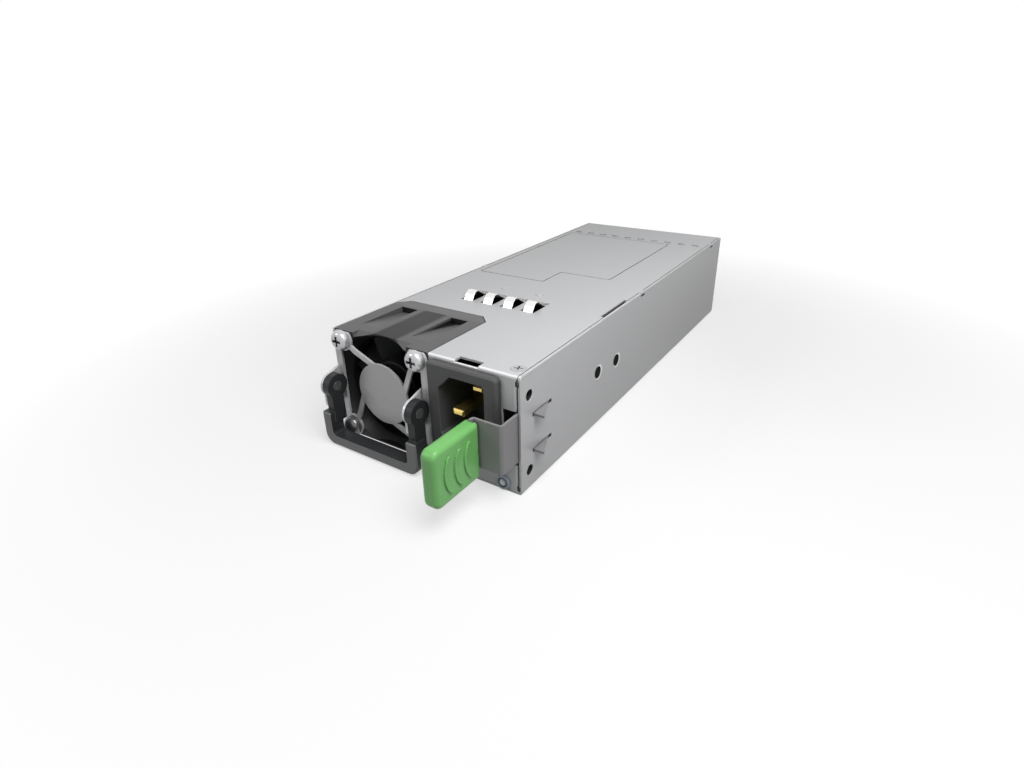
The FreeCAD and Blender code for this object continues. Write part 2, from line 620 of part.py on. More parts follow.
def fan_inner():
    """Shaft, bearings, magnet ring, stator core, windings and circuit board."""
    tube_r = BEARING_R + TUBE_WALL
    save("fan_shaft", rod("y", FAN_X, FAN_Z, SHAFT_R, HUB_FRONT + 0.8, FAN_DEPTH - 1.6))
    races = []
    split_r = (BEARING_R + SHAFT_R) / 2 + 0.35
    for y in (HUB_FRONT + 3.2, FAN_DEPTH - 1.4 - BEARING_LONG):
        races.append(ring("y", FAN_X, FAN_Z, BEARING_R, split_r + FIT, y, y + BEARING_LONG))
        races.append(ring("y", FAN_X, FAN_Z, split_r, SHAFT_R + PRESS, y, y + BEARING_LONG))
    save("fan_bearings", Part.makeCompound(races))
    magnet_r = HUB_R - HUB_WALL - PRESS
    magnet_in = magnet_r - 0.6
    hub_end = HUB_FRONT + HUB_DEPTH
    save("fan_magnet_ring", ring("y", FAN_X, FAN_Z, magnet_r, magnet_in, HUB_FRONT + 2.8, hub_end - 1))
    core_r = magnet_in - 0.4
    room = core_r - tube_r
    y0 = HUB_FRONT + HUB_DEPTH * 0.39
    y1 = HUB_FRONT + HUB_DEPTH * 0.7
    poles = [ring("y", FAN_X, FAN_Z, tube_r + room * 0.4, tube_r + PRESS, y0, y1)]
    for angle in range(0, 360, 90):
        tooth = block(FAN_X - 0.6, FAN_X + 0.6, y0, y1, FAN_Z + tube_r + room * 0.25, FAN_Z + core_r - 0.2)
        half = core_r * 0.44
        shoe = ring("y", FAN_X, FAN_Z, core_r, core_r - 0.4, y0, y1)
        shoe = shoe.common(block(FAN_X - half, FAN_X + half, y0, y1, FAN_Z, FAN_Z + core_r + 1))
        poles.append(turned(tooth, angle))
        poles.append(turned(shoe, angle))
    save("fan_stator_core", join(poles))
    coils = []
    for angle in range(0, 360, 90):
        low = FAN_Z + tube_r + room * 0.45
        coil = block(FAN_X - 1.5, FAN_X + 1.5, y0 - 0.7, y1 + 0.7, low, FAN_Z + core_r - 0.6)
        coil = coil.cut(block(FAN_X - 0.62, FAN_X + 0.62, y0 - 0.1, y1 + 0.1, FAN_Z, FAN_Z + core_r))
        coils.append(turned(coil, angle))
    save("fan_windings", Part.makeCompound(coils))
    y = FAN_DEPTH - MOTOR_MOUNT_LONG - 2.4
    save("fan_circuit_board", ring("y", FAN_X, FAN_Z, HUB_R - HUB_WALL - 0.5, tube_r + PRESS, y, y + 0.8))


def fan_duct():
    body = plate("z", bay_outline(0), 0, HEIGHT)
    body = body.common(block(IN_LEFT, FAN_RIGHT, FAN_DEPTH, FAN_DEPTH + DUCT_LONG, 0, HEIGHT))
    throat = cone("y", FAN_X, FAN_Z, FAN_BORE_R, FAN_BORE_R - 0.8, FAN_DEPTH, FAN_DEPTH + DUCT_LONG)
    return body.cut(throat)


def guard_arm():
    """One tangential arm, from the disc to a corner, drawn for the upper left one."""
    x = FAN_X - FAN_PITCH / 2
    z = FAN_Z + FAN_PITCH / 2
    start = (FAN_X - GUARD_DISC_R * 0.26, FAN_Z + GUARD_DISC_R * 0.88, 0)
    path = [start, (x + ELBOW_IN, z - ELBOW_DOWN, 2.5), (x, z, 0)]
    return join([strip("y", path, GUARD_ARM_W, -SHEET, 0), rod("y", x, z, GUARD_EAR_PAD_R, -SHEET, 0)])


def ear_outline():
    front = PIVOT_Y - NECK_HALF
    top = PIVOT_Z + BOSS_R
    return [(0, EAR_BOTTOM), (front, EAR_BOTTOM, 1.0), (front, PIVOT_Z), (PIVOT_Y, PIVOT_Z + 1),
            (PIVOT_Y, top), (0, top + 1.5)]


def guard_ear(x0):
    plate_part = plate("x", ear_outline(), x0, x0 + SHEET)
    boss = rod("x", PIVOT_Y, PIVOT_Z, BOSS_R, x0, x0 + SHEET)
    return join([plate_part, boss]).cut(rod("x", PIVOT_Y, PIVOT_Z, PIN_R + PRESS, x0 - 1, x0 + SHEET + 1))


def fan_guard():
    arm = guard_arm()
    parts = [rod("y", FAN_X, FAN_Z, GUARD_DISC_R, -SHEET, 0)]
    for angle in range(0, 360, 90):
        parts.append(turned(arm, angle))
    z0 = FAN_Z - FAN_PITCH / 2
    z1 = FAN_Z + FAN_PITCH / 2
    parts.append(block(IN_LEFT, IN_LEFT + GUARD_STRIP_W, -SHEET, 0, z0, z1))
    parts.append(block(FAN_RIGHT - GUARD_STRIP_W, FAN_RIGHT, -SHEET, 0, z0, z1))
    parts.append(block(RIGHT_EAR_X, FAN_RIGHT, -SHEET, 0, EAR_BOTTOM, EAR_BOTTOM + 4.0))
    parts.append(guard_ear(LEFT_EAR_X))
    parts.append(guard_ear(RIGHT_EAR_X))
    whole = join(parts)
    frame_box = block(IN_LEFT, FAN_RIGHT, -20, 1, GUARD_TRIM, HEIGHT - GUARD_TRIM)
    whole = whole.common(frame_box)
    holes = []
    for angle in range(0, 360, 90):
        hole = rod("y", FAN_X - FAN_PITCH / 2, FAN_Z + FAN_PITCH / 2, SCREW_SHAFT_R + 0.1, -5, 1)
        holes.append(turned(hole, angle))
    return whole.cut(Part.makeCompound(holes))


def phillips(x, y, z):
    """Cross recess cut from a head whose top is at y, facing the front."""
    slots = []
    for wide, tall in ((3.6, 0.9), (0.9, 3.6)):
        slots.append(block(x - wide / 2, x + wide / 2, y - 0.1, y + 1.1, z - tall / 2, z + tall / 2))
    return Part.makeCompound(slots)


def fan_screws():
    x = FAN_X - FAN_PITCH / 2
    z = FAN_Z + FAN_PITCH / 2
    seat = -SHEET
    head = rod("y", x, z, SCREW_HEAD_R, seat - SCREW_HEAD_H, seat)
    rim = [e for e in head.Edges if e.BoundBox.YLength < 0.01 and e.BoundBox.YMin < seat - 1]
    head = head.makeFillet(SCREW_DOME, rim)
    screw = join([head, rod("y", x, z, SCREW_SHAFT_R, seat, seat + SCREW_LONG)])
    screw = screw.cut(phillips(x, seat - SCREW_HEAD_H, z))
    return Part.makeCompound([turned(screw, angle) for angle in range(0, 360, 90)])


# Bail handle

def arm_spans():
    left0 = LEFT_EAR_X + SHEET + SPACER_GAP
    right0 = RIGHT_EAR_X + SHEET + SPACER_GAP
    return (left0, left0 + ARM_T), (right0, right0 + ARM_T)


def bail_handle():
    outer = rounded(HANDLE_LEFT, HANDLE_RIGHT, BAIL_BOTTOM, LEG_TOP + 5, BAIL_ROUND)
    rim = plate("y", outer, BAIL_FRONT, BAIL_FRONT + BAIL_DEEP)
    rim = rim.common(block(HANDLE_LEFT, HANDLE_RIGHT, BAIL_FRONT, BAIL_FRONT + BAIL_DEEP, 0, LEG_TOP))
    edges = [e for e in rim.Edges if e.BoundBox.YLength < 0.01 and e.BoundBox.YMin < BAIL_FRONT + 0.1]
    rim = rim.makeChamfer(0.4, edges)
    inside = rounded(HANDLE_LEFT + LEG_W, HANDLE_RIGHT - LEG_W, BAIL_BOTTOM + BAR_TALL, LEG_TOP + 8, 1.6)
    rim = rim.cut(plate("y", inside, BAIL_FRONT - 1, BAIL_FRONT + BAIL_DEEP + 1))
    parts = [rim]
    for x0, x1 in arm_spans():
        front = PIVOT_Y - NECK_HALF
        rear = PIVOT_Y + NECK_HALF - 1.2
        low = LEG_TOP - 4
        neck = plate("x", [(front, low, 0.6), (rear, low, 0.6), (rear, PIVOT_Z), (front, PIVOT_Z)], x0, x1)
        boss = rod("x", PIVOT_Y, PIVOT_Z, BOSS_R, x0, x1)
        parts.append(neck)
        parts.append(boss)
    whole = join(parts)
    cuts = []
    for x0, x1 in arm_spans():
        cuts.append(rod("x", PIVOT_Y, PIVOT_Z, PIN_R + FIT, x0 - 1, x1 + 1))
        cuts.append(rod("x", PIVOT_Y, PIVOT_Z, PIN_HEAD_R + 0.2, x1 - PIN_HEAD_H - 0.2, x1 + 1))
    return whole.cut(Part.makeCompound(cuts))


def handle_pins():
    pins = []
    for ear_x, (x0, x1) in zip((LEFT_EAR_X, RIGHT_EAR_X), arm_spans()):
        shaft = rod("x", PIVOT_Y, PIVOT_Z, PIN_R, ear_x, x1 - PIN_HEAD_H)
        head = rod("x", PIVOT_Y, PIVOT_Z, PIN_HEAD_R, x1 - PIN_HEAD_H - 0.1, x1 - 0.1)
        pins.append(join([shaft, head]))
    return Part.makeCompound(pins)


# Mains inlet

def inlet_cavity_corners(grow):
    x0 = INLET_X - CAVITY_W / 2 - grow
    x1 = INLET_X + CAVITY_W / 2 + grow
    z0 = INLET_Z - CAVITY_H / 2 - grow
    z1 = INLET_Z + CAVITY_H / 2 + grow
    bevel = CAVITY_BEVEL
    square = [(x0 + bevel, z0), (x1, z0, 1.0), (x1, z1, 1.0), (x0 + bevel, z1)]
    return square + [(x0, z1 - bevel), (x0, z0 + bevel)]


def ac_inlet():
    x0 = INLET_X - INLET_FLANGE_W / 2
    z0 = INLET_Z - INLET_FLANGE_H / 2
    flange = plate("y", rounded(x0, x0 + INLET_FLANGE_W, z0, z0 + INLET_FLANGE_H, 1.5), -INLET_PROUD, 0)
    front = [e for e in flange.Edges if e.BoundBox.YLength < 0.01 and e.BoundBox.YMin < -INLET_PROUD + 0.1]
    flange = flange.makeChamfer(0.6, front)
    body = plate("y", inlet_cavity_corners(INLET_WALL), -0.5, INLET_BODY_LONG)
    cavity = plate("y", inlet_cavity_corners(0), -INLET_PROUD - 1, CAVITY_DEEP - INLET_PROUD)
    whole = join([flange, body])
    catch_y = SHEET + SPACER_GAP
    half_w = CAVITY_W * 0.18
    for sign in (-1, 1):
        root = INLET_Z + sign * (CAVITY_H / 2 + INLET_WALL)
        corners = [(catch_y, root), (catch_y, root + sign * INLET_CATCH), (catch_y + 4.4, root)]
        whole = whole.fuse(plate("x", corners, INLET_X - half_w, INLET_X + half_w))
    whole = whole.removeSplitter().cut(cavity)
    return whole.cut(Part.makeCompound([blade_block(x, z, long) for x, z, long in blade_spots()]))


def blade_spots():
    """Earth pin, longer so that it meets first, then the two live pins."""
    x = INLET_X + LIVE_OFFSET
    return [(INLET_X - EARTH_OFFSET, INLET_Z, EARTH_LONG), (x, INLET_Z - BLADE_PITCH / 2, LIVE_LONG),
            (x, INLET_Z + BLADE_PITCH / 2, LIVE_LONG)]


def blade_block(x, z, long):
    y1 = CAVITY_DEEP - INLET_PROUD
    half_w = BLADE_W / 2
    half_t = BLADE_T / 2
    return block(x - half_w, x + half_w, y1 - long, INLET_BODY_LONG + TAIL_LONG, z - half_t, z + half_t)


def inlet_pins():
    pins = []
    for x, z, long in blade_spots():
        pin = blade_block(x, z, long)
        front_y = CAVITY_DEEP - INLET_PROUD - long
        tip = [e for e in pin.Edges if e.BoundBox.YMax < front_y + 0.01]
        pins.append(pin.makeChamfer(0.5, tip))
    return Part.makeCompound(pins)


# Release latch

def latch_spring():
    path = [(LEAF_X, LATCH_HINGE_Y - FIT, 0), (LEAF_X, PLATE_Y, LATCH_BEND)]
    path += [(TANG_X, PLATE_Y, LATCH_BEND), (TANG_X, TANG_END, 0)]
    whole = strip("z", path, LATCH_T, PLATE_Z0, PLATE_Z1)
    trims = []
    for z0, z1 in ((PLATE_Z0 - 1, LATCH_Z0), (LATCH_Z1, PLATE_Z1 + 1)):
        trims.append(block(LEAF_X - 3, LEAF_X + 3, 3.0, LATCH_HINGE_Y + 1, z0, z1))
        trims.append(block(TANG_X - 3, TANG_X + 3, TANG_END - 1, PLATE_Y - 1.6, z0, z1))
    whole = whole.cut(Part.makeCompound(trims))
    tip_x = RIGHT + FIN_PROUD
    heel_y = FIN_Y + FIN_LONG * (1 + (RIGHT - LEAF_X1) / FIN_PROUD)
    fins = []
    for z in fin_levels():
        corners = [(LEAF_X, FIN_Y), (tip_x, FIN_Y), (LEAF_X1, heel_y), (LEAF_X, heel_y)]
        fins.append(plate("z", corners, z, z + FIN_T))
    return join([whole] + fins)


def rivet_ys():
    return [LATCH_HINGE_Y + gap for gap in RIVET_GAPS]


def latch_root():
    y0 = LATCH_HINGE_Y + FIT
    y1 = LATCH_HINGE_Y + ROOT_LONG
    corners = [(y0, LATCH_Z0), (y1, LATCH_Z0, 2.0), (y1, LATCH_Z1, 2.0), (y0, LATCH_Z1)]
    root = plate("x", corners, IN_RIGHT - LATCH_T, IN_RIGHT)
    holes = [rod("x", y, RIVET_Z, RIVET_R + PRESS, IN_RIGHT - 5, IN_RIGHT + 1) for y in rivet_ys()]
    return root.cut(Part.makeCompound(holes))


def latch_rivets():
    rivets = []
    for y in rivet_ys():
        body = rod("x", y, RIVET_Z, RIVET_R, IN_RIGHT - LATCH_T, RIGHT)
        tail = rod("x", y, RIVET_Z, RIVET_R + 0.6, IN_RIGHT - LATCH_T - 0.4, IN_RIGHT - LATCH_T)
        bore = rod("x", y, RIVET_Z, RIVET_HOLE_R, IN_RIGHT - 5, RIGHT + 1)
        rivets.append(join([body, tail]).cut(bore))
    return Part.makeCompound(rivets)


def grip_ridge(y):
    """Curved finger ridge on the outer face, bowed towards the front."""
    mid_z = (GRIP_Z0 + GRIP_Z1) / 2
    bow_r = 9.0
    x0 = grip_x1() - 0.4
    x1 = grip_x1() + RIDGE_PROUD
    outer = rod("x", y + bow_r, mid_z, bow_r, x0, x1)
    inner = rod("x", y + bow_r + 0.9, mid_z, bow_r, x0 - 1, x1 + 1)
    half_h = (GRIP_Z1 - GRIP_Z0) * 0.31
    return outer.cut(inner).common(block(x0, x1, y - 1, y + 4.5, mid_z - half_h, mid_z + half_h))


def grip_x1():
    return TANG_X + GRIP_T / 2


def latch_grip():
    rear = PLATE_Y - LATCH_T / 2 - 0.02
    profile = rounded(rear - GRIP_LONG, rear, GRIP_Z0, GRIP_Z1, 2.6)
    profile[1] = (rear, GRIP_Z0, 1.0)
    profile[2] = (rear, GRIP_Z1, 1.0)
    body = plate("x", profile, grip_x1() - GRIP_T, grip_x1())
    rims = []
    for edge in body.Edges:
        box = edge.BoundBox
        if box.XLength < 0.01 and box.YMin < rear - 0.5:
            rims.append(edge)
    body = body.makeFillet(GRIP_ROUND, rims) if rims else body
    ridges = [grip_ridge(rear - GRIP_LONG * 0.82 + i * RIDGE_PITCH) for i in range(RIDGES)]
    body = join([body] + ridges)
    slot = block(TANG_X - LATCH_T / 2, TANG_X + LATCH_T / 2, TANG_END, rear + 1, LATCH_Z0, LATCH_Z1)
    wide = block(TANG_X - LATCH_T / 2, TANG_X + LATCH_T / 2, PLATE_Y - 1.6, rear + 1, PLATE_Z0, PLATE_Z1)
    bend_relief = block(TANG_X, TANG_X + LATCH_T / 2 + 1.0, PLATE_Y - 1.6, rear + 1, PLATE_Z0, PLATE_Z1)
    return body.cut(Part.makeCompound([slot, wide, bend_relief]))


# Grounding fingers

def strip_x_span():
    xs = finger_xs()
    past = FINGER_W / 2 + 2.3
    return xs[0] - past, xs[-1] + past


def ground_fingers():
    under = CEILING - FINGER_T / 2
    crest_y = WINDOW_Y0 + 3.7
    path = [(FINGER_HINGE_Y - FIT, under, 0),
            (WINDOW_Y0 + WINDOW_LONG - 1.4, under, 3.0),
            (crest_y, CEILING + FINGER_HIGH + 0.9, 2.4), (WINDOW_Y0 + 0.7, CEILING - 0.5, 0)]
    pieces = [strip("x", path, FINGER_T, x - FINGER_W / 2, x + FINGER_W / 2) for x in finger_xs()]
    x0, x1 = strip_x_span()
    pieces.append(block(x0, x1, FINGER_HINGE_Y - 1.8, FINGER_HINGE_Y - FIT, CEILING - FINGER_T, CEILING))
    return join(pieces)


def finger_strip():
    x0, x1 = strip_x_span()
    sheet = block(x0, x1, FINGER_HINGE_Y + FIT, FINGER_HINGE_Y + STRIP_LONG, CEILING - FINGER_T, CEILING)
    holes = [rod("z", x, y, STRIP_RIVET_R + PRESS, 0, HEIGHT + 5) for x, y in strip_rivets_xy()]
    return sheet.cut(Part.makeCompound(holes))


def strip_rivets():
    rivets = []
    for x, y in strip_rivets_xy():
        shaft = rod("z", x, y, STRIP_RIVET_R, CEILING - FINGER_T, HEIGHT)
        head = cone("z", x, y, 1.5, 1.0, HEIGHT, HEIGHT + 0.3)
        tail = rod("z", x, y, 1.4, CEILING - FINGER_T - 0.35, CEILING - FINGER_T)
        rivets.append(join([shaft, head, tail]))
    return Part.makeCompound(rivets)


# Status lamp

def status_lamp():
    rim = ring("y", LAMP_X, LAMP_Z, BEZEL_R, LAMP_R + FIT, -0.7, 0)
    sleeve = ring("y", LAMP_X, LAMP_Z, LAMP_R + SLEEVE_WALL, LAMP_R + FIT, -0.1, SHEET + 1.6)
    save("lamp_bezel", join([rim, sleeve]))
    lens = rod("y", LAMP_X, LAMP_Z, LAMP_R, -0.9, SHEET + 1.6)
    tip = [e for e in lens.Edges if e.BoundBox.YLength < 0.01 and e.BoundBox.YMin < -0.8]
    save("lamp_lens", lens.makeFillet(0.7, tip))
    start = SHEET + 1.7
    bulb = rod("y", LAMP_X, LAMP_Z, LED_R, start, start + 4.3)
    flange = rod("y", LAMP_X, LAMP_Z, LED_R + 0.3, start + 3.3, start + 4.3)
    save("status_lamp", join([bulb, flange]))


# Main board and what stands on it

def lay_x(x):
    return x * SHARE_X


def lay_y(y):
    return BOARD_Y0 + (y - PLAN_START) * SHARE_Y


def lay_z(height):
    return BOARD_TOP + height * SHARE_Z


def standoff_mid_y():
    return lay_y(131.2)


def standoff_spots():
    edge = BOARD_MARGIN + 3.0
    xs = (IN_LEFT + edge, IN_RIGHT - edge)
    ys = (BOARD_Y0 + 6.0, standoff_mid_y(), BOARD_END - 6.0)
    return [(x, y) for x in xs for y in ys]


def main_board():
    x0 = IN_LEFT + BOARD_MARGIN
    x1 = IN_RIGHT - BOARD_MARGIN
    half = TONGUE_W / 2
    end = LENGTH + TONGUE_PROUD
    key_x = CONTACT_PITCH * (KEY_COLUMN - 0.3)
    key_x0 = key_x - CONTACT_PITCH * 0.4
    key_x1 = key_x + CONTACT_PITCH * 0.4
    key_y = end - TONGUE_PROUD + 1
    key = [(key_x1, end, 0.3), (key_x1, key_y, 0.3), (key_x0, key_y, 0.3), (key_x0, end, 0.3)]
    right = [(x0, BOARD_Y0, 1), (x1, BOARD_Y0, 1), (x1, BOARD_END, 1), (half, BOARD_END, 0.8), (half, end, 1)]
    left = [(-half, end, 1), (-half, BOARD_END, 0.8), (x0, BOARD_END, 1)]
    board = plate("z", right + key + left, BOARD_Z, BOARD_TOP)
    holes = [rod("z", x, y, BOARD_SCREW_R + 0.15, 0, 20) for x, y in standoff_spots()]
    return board.cut(Part.makeCompound(holes))


def edge_contacts():
    contacts = []
    y1 = LENGTH + TONGUE_PROUD - 0.6
    columns = int((TONGUE_W / 2 - 1.8) / CONTACT_PITCH)
    for column in range(-columns, columns + 1):
        if column in (KEY_COLUMN - 1, KEY_COLUMN):
            continue
        x = column * CONTACT_PITCH
        for z in (BOARD_Z - CONTACT_T, BOARD_TOP):
            pad = block(-CONTACT_W / 2, CONTACT_W / 2, y1 - CONTACT_LONG, y1, z, z + CONTACT_T)
            pad.translate(FreeCAD.Vector(x, 0, 0))
            contacts.append(pad)
    return Part.makeCompound(contacts)


def board_hardware():
    posts = []
    screws = []
    for x, y in standoff_spots():
        posts.append(ring("z", x, y, STANDOFF_R, BOARD_SCREW_R + 0.03, SHEET, BOARD_Z))
        head = rod("z", x, y, BOARD_HEAD_R, BOARD_TOP, BOARD_TOP + 1.9)
        screw = join([head, rod("z", x, y, BOARD_SCREW_R, SHEET + 0.4, BOARD_TOP)])
        slot = block(x - 1.7, x + 1.7, y - 0.4, y + 0.4, BOARD_TOP + 1.1, BOARD_TOP + 3)
        screws.append(screw.cut(slot))
    save("board_standoffs", Part.makeCompound(posts))
    save("board_screws", Part.makeCompound(screws))
    x0 = IN_LEFT + BOARD_MARGIN
    sheet = block(x0, -x0, BOARD_Y0 + 1, BOARD_END, SHEET, SHEET + 0.4)
    holes = [rod("z", x, y, STANDOFF_R + 0.4, 0, 5) for x, y in standoff_spots()]
    save("insulation_sheet", sheet.cut(Part.makeCompound(holes)))


def can(x, y, radius, height):
    """Upright electrolytic capacitor with a rolled groove near its base."""
    at = (lay_x(x), lay_y(y))
    r = radius * PLAN_SHARE
    body = rod("z", at[0], at[1], r, BOARD_TOP, lay_z(height))
    top = [e for e in body.Edges if e.BoundBox.ZLength < 0.01 and e.BoundBox.ZMin > BOARD_TOP + 1]
    body = body.makeFillet(0.5, top)
    return body.cut(Part.makeTorus(r + 0.25, 0.6, FreeCAD.Vector(at[0], at[1], BOARD_TOP + 2.2)))


def lying_can(x, y0, y1, radius):
    r = radius * SHARE
    z = BOARD_TOP + r
    body = rod("y", lay_x(x), z, r, lay_y(y0), lay_y(y1))
    ends = [e for e in body.Edges if e.BoundBox.YLength < 0.01]
    body = body.makeFillet(1.0, ends)
    groove_at = FreeCAD.Vector(lay_x(x), lay_y(y0) + 4, z)
    return body.cut(Part.makeTorus(r + 0.4, 1.0, groove_at, FreeCAD.Vector(0, 1, 0)))


def fins(x0, y0, y1, height, out):
    """Extruded heat sink: upright back plate with fins reaching out along x."""
    base = lay_x(x0)
    face = base + out * 2.4 * SHARE
    reach = base + out * 6.0 * SHARE
    top = lay_z(height)
    parts = [block(min(base, face), max(base, face), y0, y1, BOARD_TOP, top)]
    thick = 1.1 * SHARE
    step = (top - BOARD_TOP - thick) / SINK_FINS
    inner = face - out * 0.1
    for i in range(1, SINK_FINS + 1):
        z = BOARD_TOP + i * step
        parts.append(block(min(inner, reach), max(inner, reach), y0, y1, z, z + thick))
    return join(parts)


def toroid(x, y, outer, inner, height):
    z = BOARD_TOP + WIRE + SPACER_GAP
    return ring("z", lay_x(x), lay_y(y), outer * PLAN_SHARE, inner * PLAN_SHARE, z, z + height * SHARE_Z)


def wound(x, y, outer, inner, height, turns, start, sweep):
    """Wire turns round a toroid standing on the board, each a bent bar round the core."""
    bars = []
    cx = lay_x(x)
    cy = lay_y(y)
    low = BOARD_TOP + SPACER_GAP / 2
    high = BOARD_TOP + 2 * WIRE + 1.5 * SPACER_GAP + height * SHARE_Z
    for i in range(turns):
        angle = start + sweep * i / (turns - 1)
        x0 = cx + inner * PLAN_SHARE
        x1 = cx + outer * PLAN_SHARE
        loop = block(x0 - WIRE, x1 + WIRE, cy - WIRE / 2, cy + WIRE / 2, low, high)
        gap = block(x0 - 0.06, x1, cy - WIRE, cy + WIRE, low + WIRE, high - WIRE)
        bar = loop.cut(gap)
        bar.rotate(FreeCAD.Vector(cx, cy, 0), FreeCAD.Vector(0, 0, 1), angle)
        bars.append(bar)
    return bars


def boxy(x0, x1, y0, y1, height, radius):
    body = block(lay_x(x0), lay_x(x1), lay_y(y0), lay_y(y1), BOARD_TOP, lay_z(height))
    edges = [e for e in body.Edges if e.BoundBox.ZLength > 1]
    return body.makeFillet(radius, edges)


def mains_side():
    y = lay_y(42.5)
    z = BOARD_TOP + 3.2
    tube = rod("x", y, z, 2.8, lay_x(12.6), lay_x(26.6))
    caps = [rod("x", y, z, 3.15, lay_x(x), lay_x(x + 4.5)) for x in (11.6, 23.1)]
    save("fuse", join([tube] + caps))
    films = [boxy(15.0, 31.5, y, y + 7.5, 15.0, 0.8) for y in (46.0, 75.2)]
    save("x_capacitors", Part.makeCompound(films))
    save("line_filter_core", toroid(23.5, 64.0, 9.0, 4.6, 8.0))
    turns = wound(23.5, 64.0, 9.0, 4.6, 8.0, 7, 20, 120) + wound(23.5, 64.0, 9.0, 4.6, 8.0, 7, 200, 120)
    save("line_filter_windings", Part.makeCompound(turns))
    save("inrush_relay", boxy(14.5, 31.5, 86.0, 98.0, 15.5, 0.5))
    save("bulk_capacitors", Part.makeCompound([lying_can(x, 37.0, 79.0, 11.0) for x in (-21.6, 1.3)]))
    save("bridge_rectifier", boxy(-26.6, -23.2, 84.0, 106.0, 18.0, 0.6))
    gap = BOARD_HEAD_R + HEAD_ROOM
    save("primary_heatsink", fins(-26.6, lay_y(82.0), standoff_mid_y() - gap, 27.0, -1))
    switches = [boxy(-26.6, -22.2, y, y + 10.2, 16.0, 0.4) for y in (107.0, 117.6)]
    save("power_transistors", Part.makeCompound(switches))
    save("pfc_core", toroid(-4.0, 97.0, 13.0, 6.5, 11.0))
    save("pfc_winding", Part.makeCompound(wound(-4.0, 97.0, 13.0, 6.5, 11.0, 18, 0, 320)))


def transformer():
    y0 = lay_y(120.0)
    y1 = lay_y(142.0)
    core = block(lay_x(-12.0), lay_x(18.0), y0, y1, BOARD_TOP, lay_z(27.0))
    windows = []
    for x in (-7.5, 5.5):
        windows.append(block(lay_x(x), lay_x(x + 8.0), y0 - 1, y1 + 1, lay_z(5.0), lay_z(22.0)))
    save("transformer_core", core.cut(Part.makeCompound(windows)))
    outer = rounded(lay_x(-7.3), lay_x(13.3), lay_y(115.0), lay_y(147.0), 5.0 * SHARE)
    coil = plate("z", outer, lay_z(6.0), lay_z(21.0))
    limb = block(lay_x(0.5) - 0.3, lay_x(5.5) + 0.3, y0 - 0.4, y1 + 0.4, BOARD_TOP, CEILING)
    save("transformer_winding", coil.cut(limb))


def output_side():
    gap = BOARD_HEAD_R + HEAD_ROOM
    save("secondary_heatsink", fins(-26.6, standoff_mid_y() + gap, lay_y(172.0), 24.0, -1))
    save("output_choke_core", toroid(-12.0, 164.0, 9.0, 4.6, 9.0))
    save("output_choke_winding", Part.makeCompound(wound(-12.0, 164.0, 9.0, 4.6, 9.0, 9, 0, 300)))
    cans = [can(5.0 + 9.4 * i, 156.0 + 9.4 * j, 4.0, 15.0) for i in range(3) for j in range(3)]
    save("output_capacitors", Part.makeCompound(cans))
    y0 = lay_y(104.0)
    y1 = lay_y(150.0)
    top = lay_z(26.0)
    card_x = lay_x(25.2)
    corners = [(y0, BOARD_TOP), (y1, BOARD_TOP), (y1, top, 1), (y0, top, 1)]
    save("control_board", plate("x", corners, card_x, card_x + 1.2))
    chips = []
    for y in (110.0, 124.0, 138.0):
        chips.append(block(card_x - 1.6, card_x, lay_y(y), lay_y(y + 8), lay_z(8.0), lay_z(16.0)))
    save("control_chips", Part.makeCompound(chips))


def lead(path, radius):
    """Round wire along straight runs joined by arcs at its corners."""
    edges = []
    points = [FreeCAD.Vector(p) for p in path]
    at = points[0]
    for i in range(1, len(points) - 1):
        back = (points[i - 1] - points[i])
        on = (points[i + 1] - points[i])
        shorter = min(back.Length, on.Length)
        back = back.normalize()
        on = on.normalize()
        reach = 0.45 * shorter
        half = back.getAngle(on) / 2
        bend = reach * math.tan(half)
        start = points[i] + back * reach
        end = points[i] + on * reach
        mid = points[i] + (back + on).normalize() * (bend / math.sin(half) - bend)
        edges.append(Part.makeLine(at, start))
        edges.append(Part.Arc(start, mid, end).toShape())
        at = end
    edges.append(Part.makeLine(at, points[-1]))
    wire = Part.Wire(edges)
    circle = Part.Circle(points[0], points[1] - points[0], radius).toShape()
    return wire.makePipeShell([Part.Wire(circle)], True, False)


def inlet_leads():
    wires = []
    tail = INLET_BODY_LONG + TAIL_LONG
    drop_y = BOARD_Y0 + 1.4
    run_y = (tail + drop_y) / 2
    for k, (x, z, long) in enumerate(blade_spots()):
        end_x = lay_x(15.0 + 5.2 * k)
        path = [(x, tail, z), (x, run_y, z), (end_x, drop_y, BOARD_TOP + 9.0), (end_x, drop_y, BOARD_TOP)]
        wires.append(lead(path, 0.9))
    return Part.makeCompound(wires)


save("chassis_tray", chassis_tray())
save("top_cover", top_cover())
save("cover_screw", cover_screw())
save("fan_frame", fan_frame())
save("fan_rotor", fan_rotor())
fan_inner()
save("fan_duct", fan_duct())
save("fan_guard", fan_guard())
save("fan_screws", fan_screws())
save("bail_handle", bail_handle())
save("handle_pins", handle_pins())
save("ac_inlet", ac_inlet())
save("inlet_pins", inlet_pins())
save("latch_spring", latch_spring())
save("latch_root", latch_root())
save("latch_rivets", latch_rivets())
save("latch_grip", latch_grip())
save("ground_fingers", ground_fingers())
save("finger_strip", finger_strip())
save("strip_rivets", strip_rivets())
status_lamp()
save("main_board", main_board())
save("edge_contacts", edge_contacts())
board_hardware()
mains_side()
transformer()
output_side()
save("inlet_leads", inlet_leads())
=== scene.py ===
import bpy
import bmesh
import math
import random
from mathutils import Matrix, Vector
from mathutils.bvhtree import BVHTree


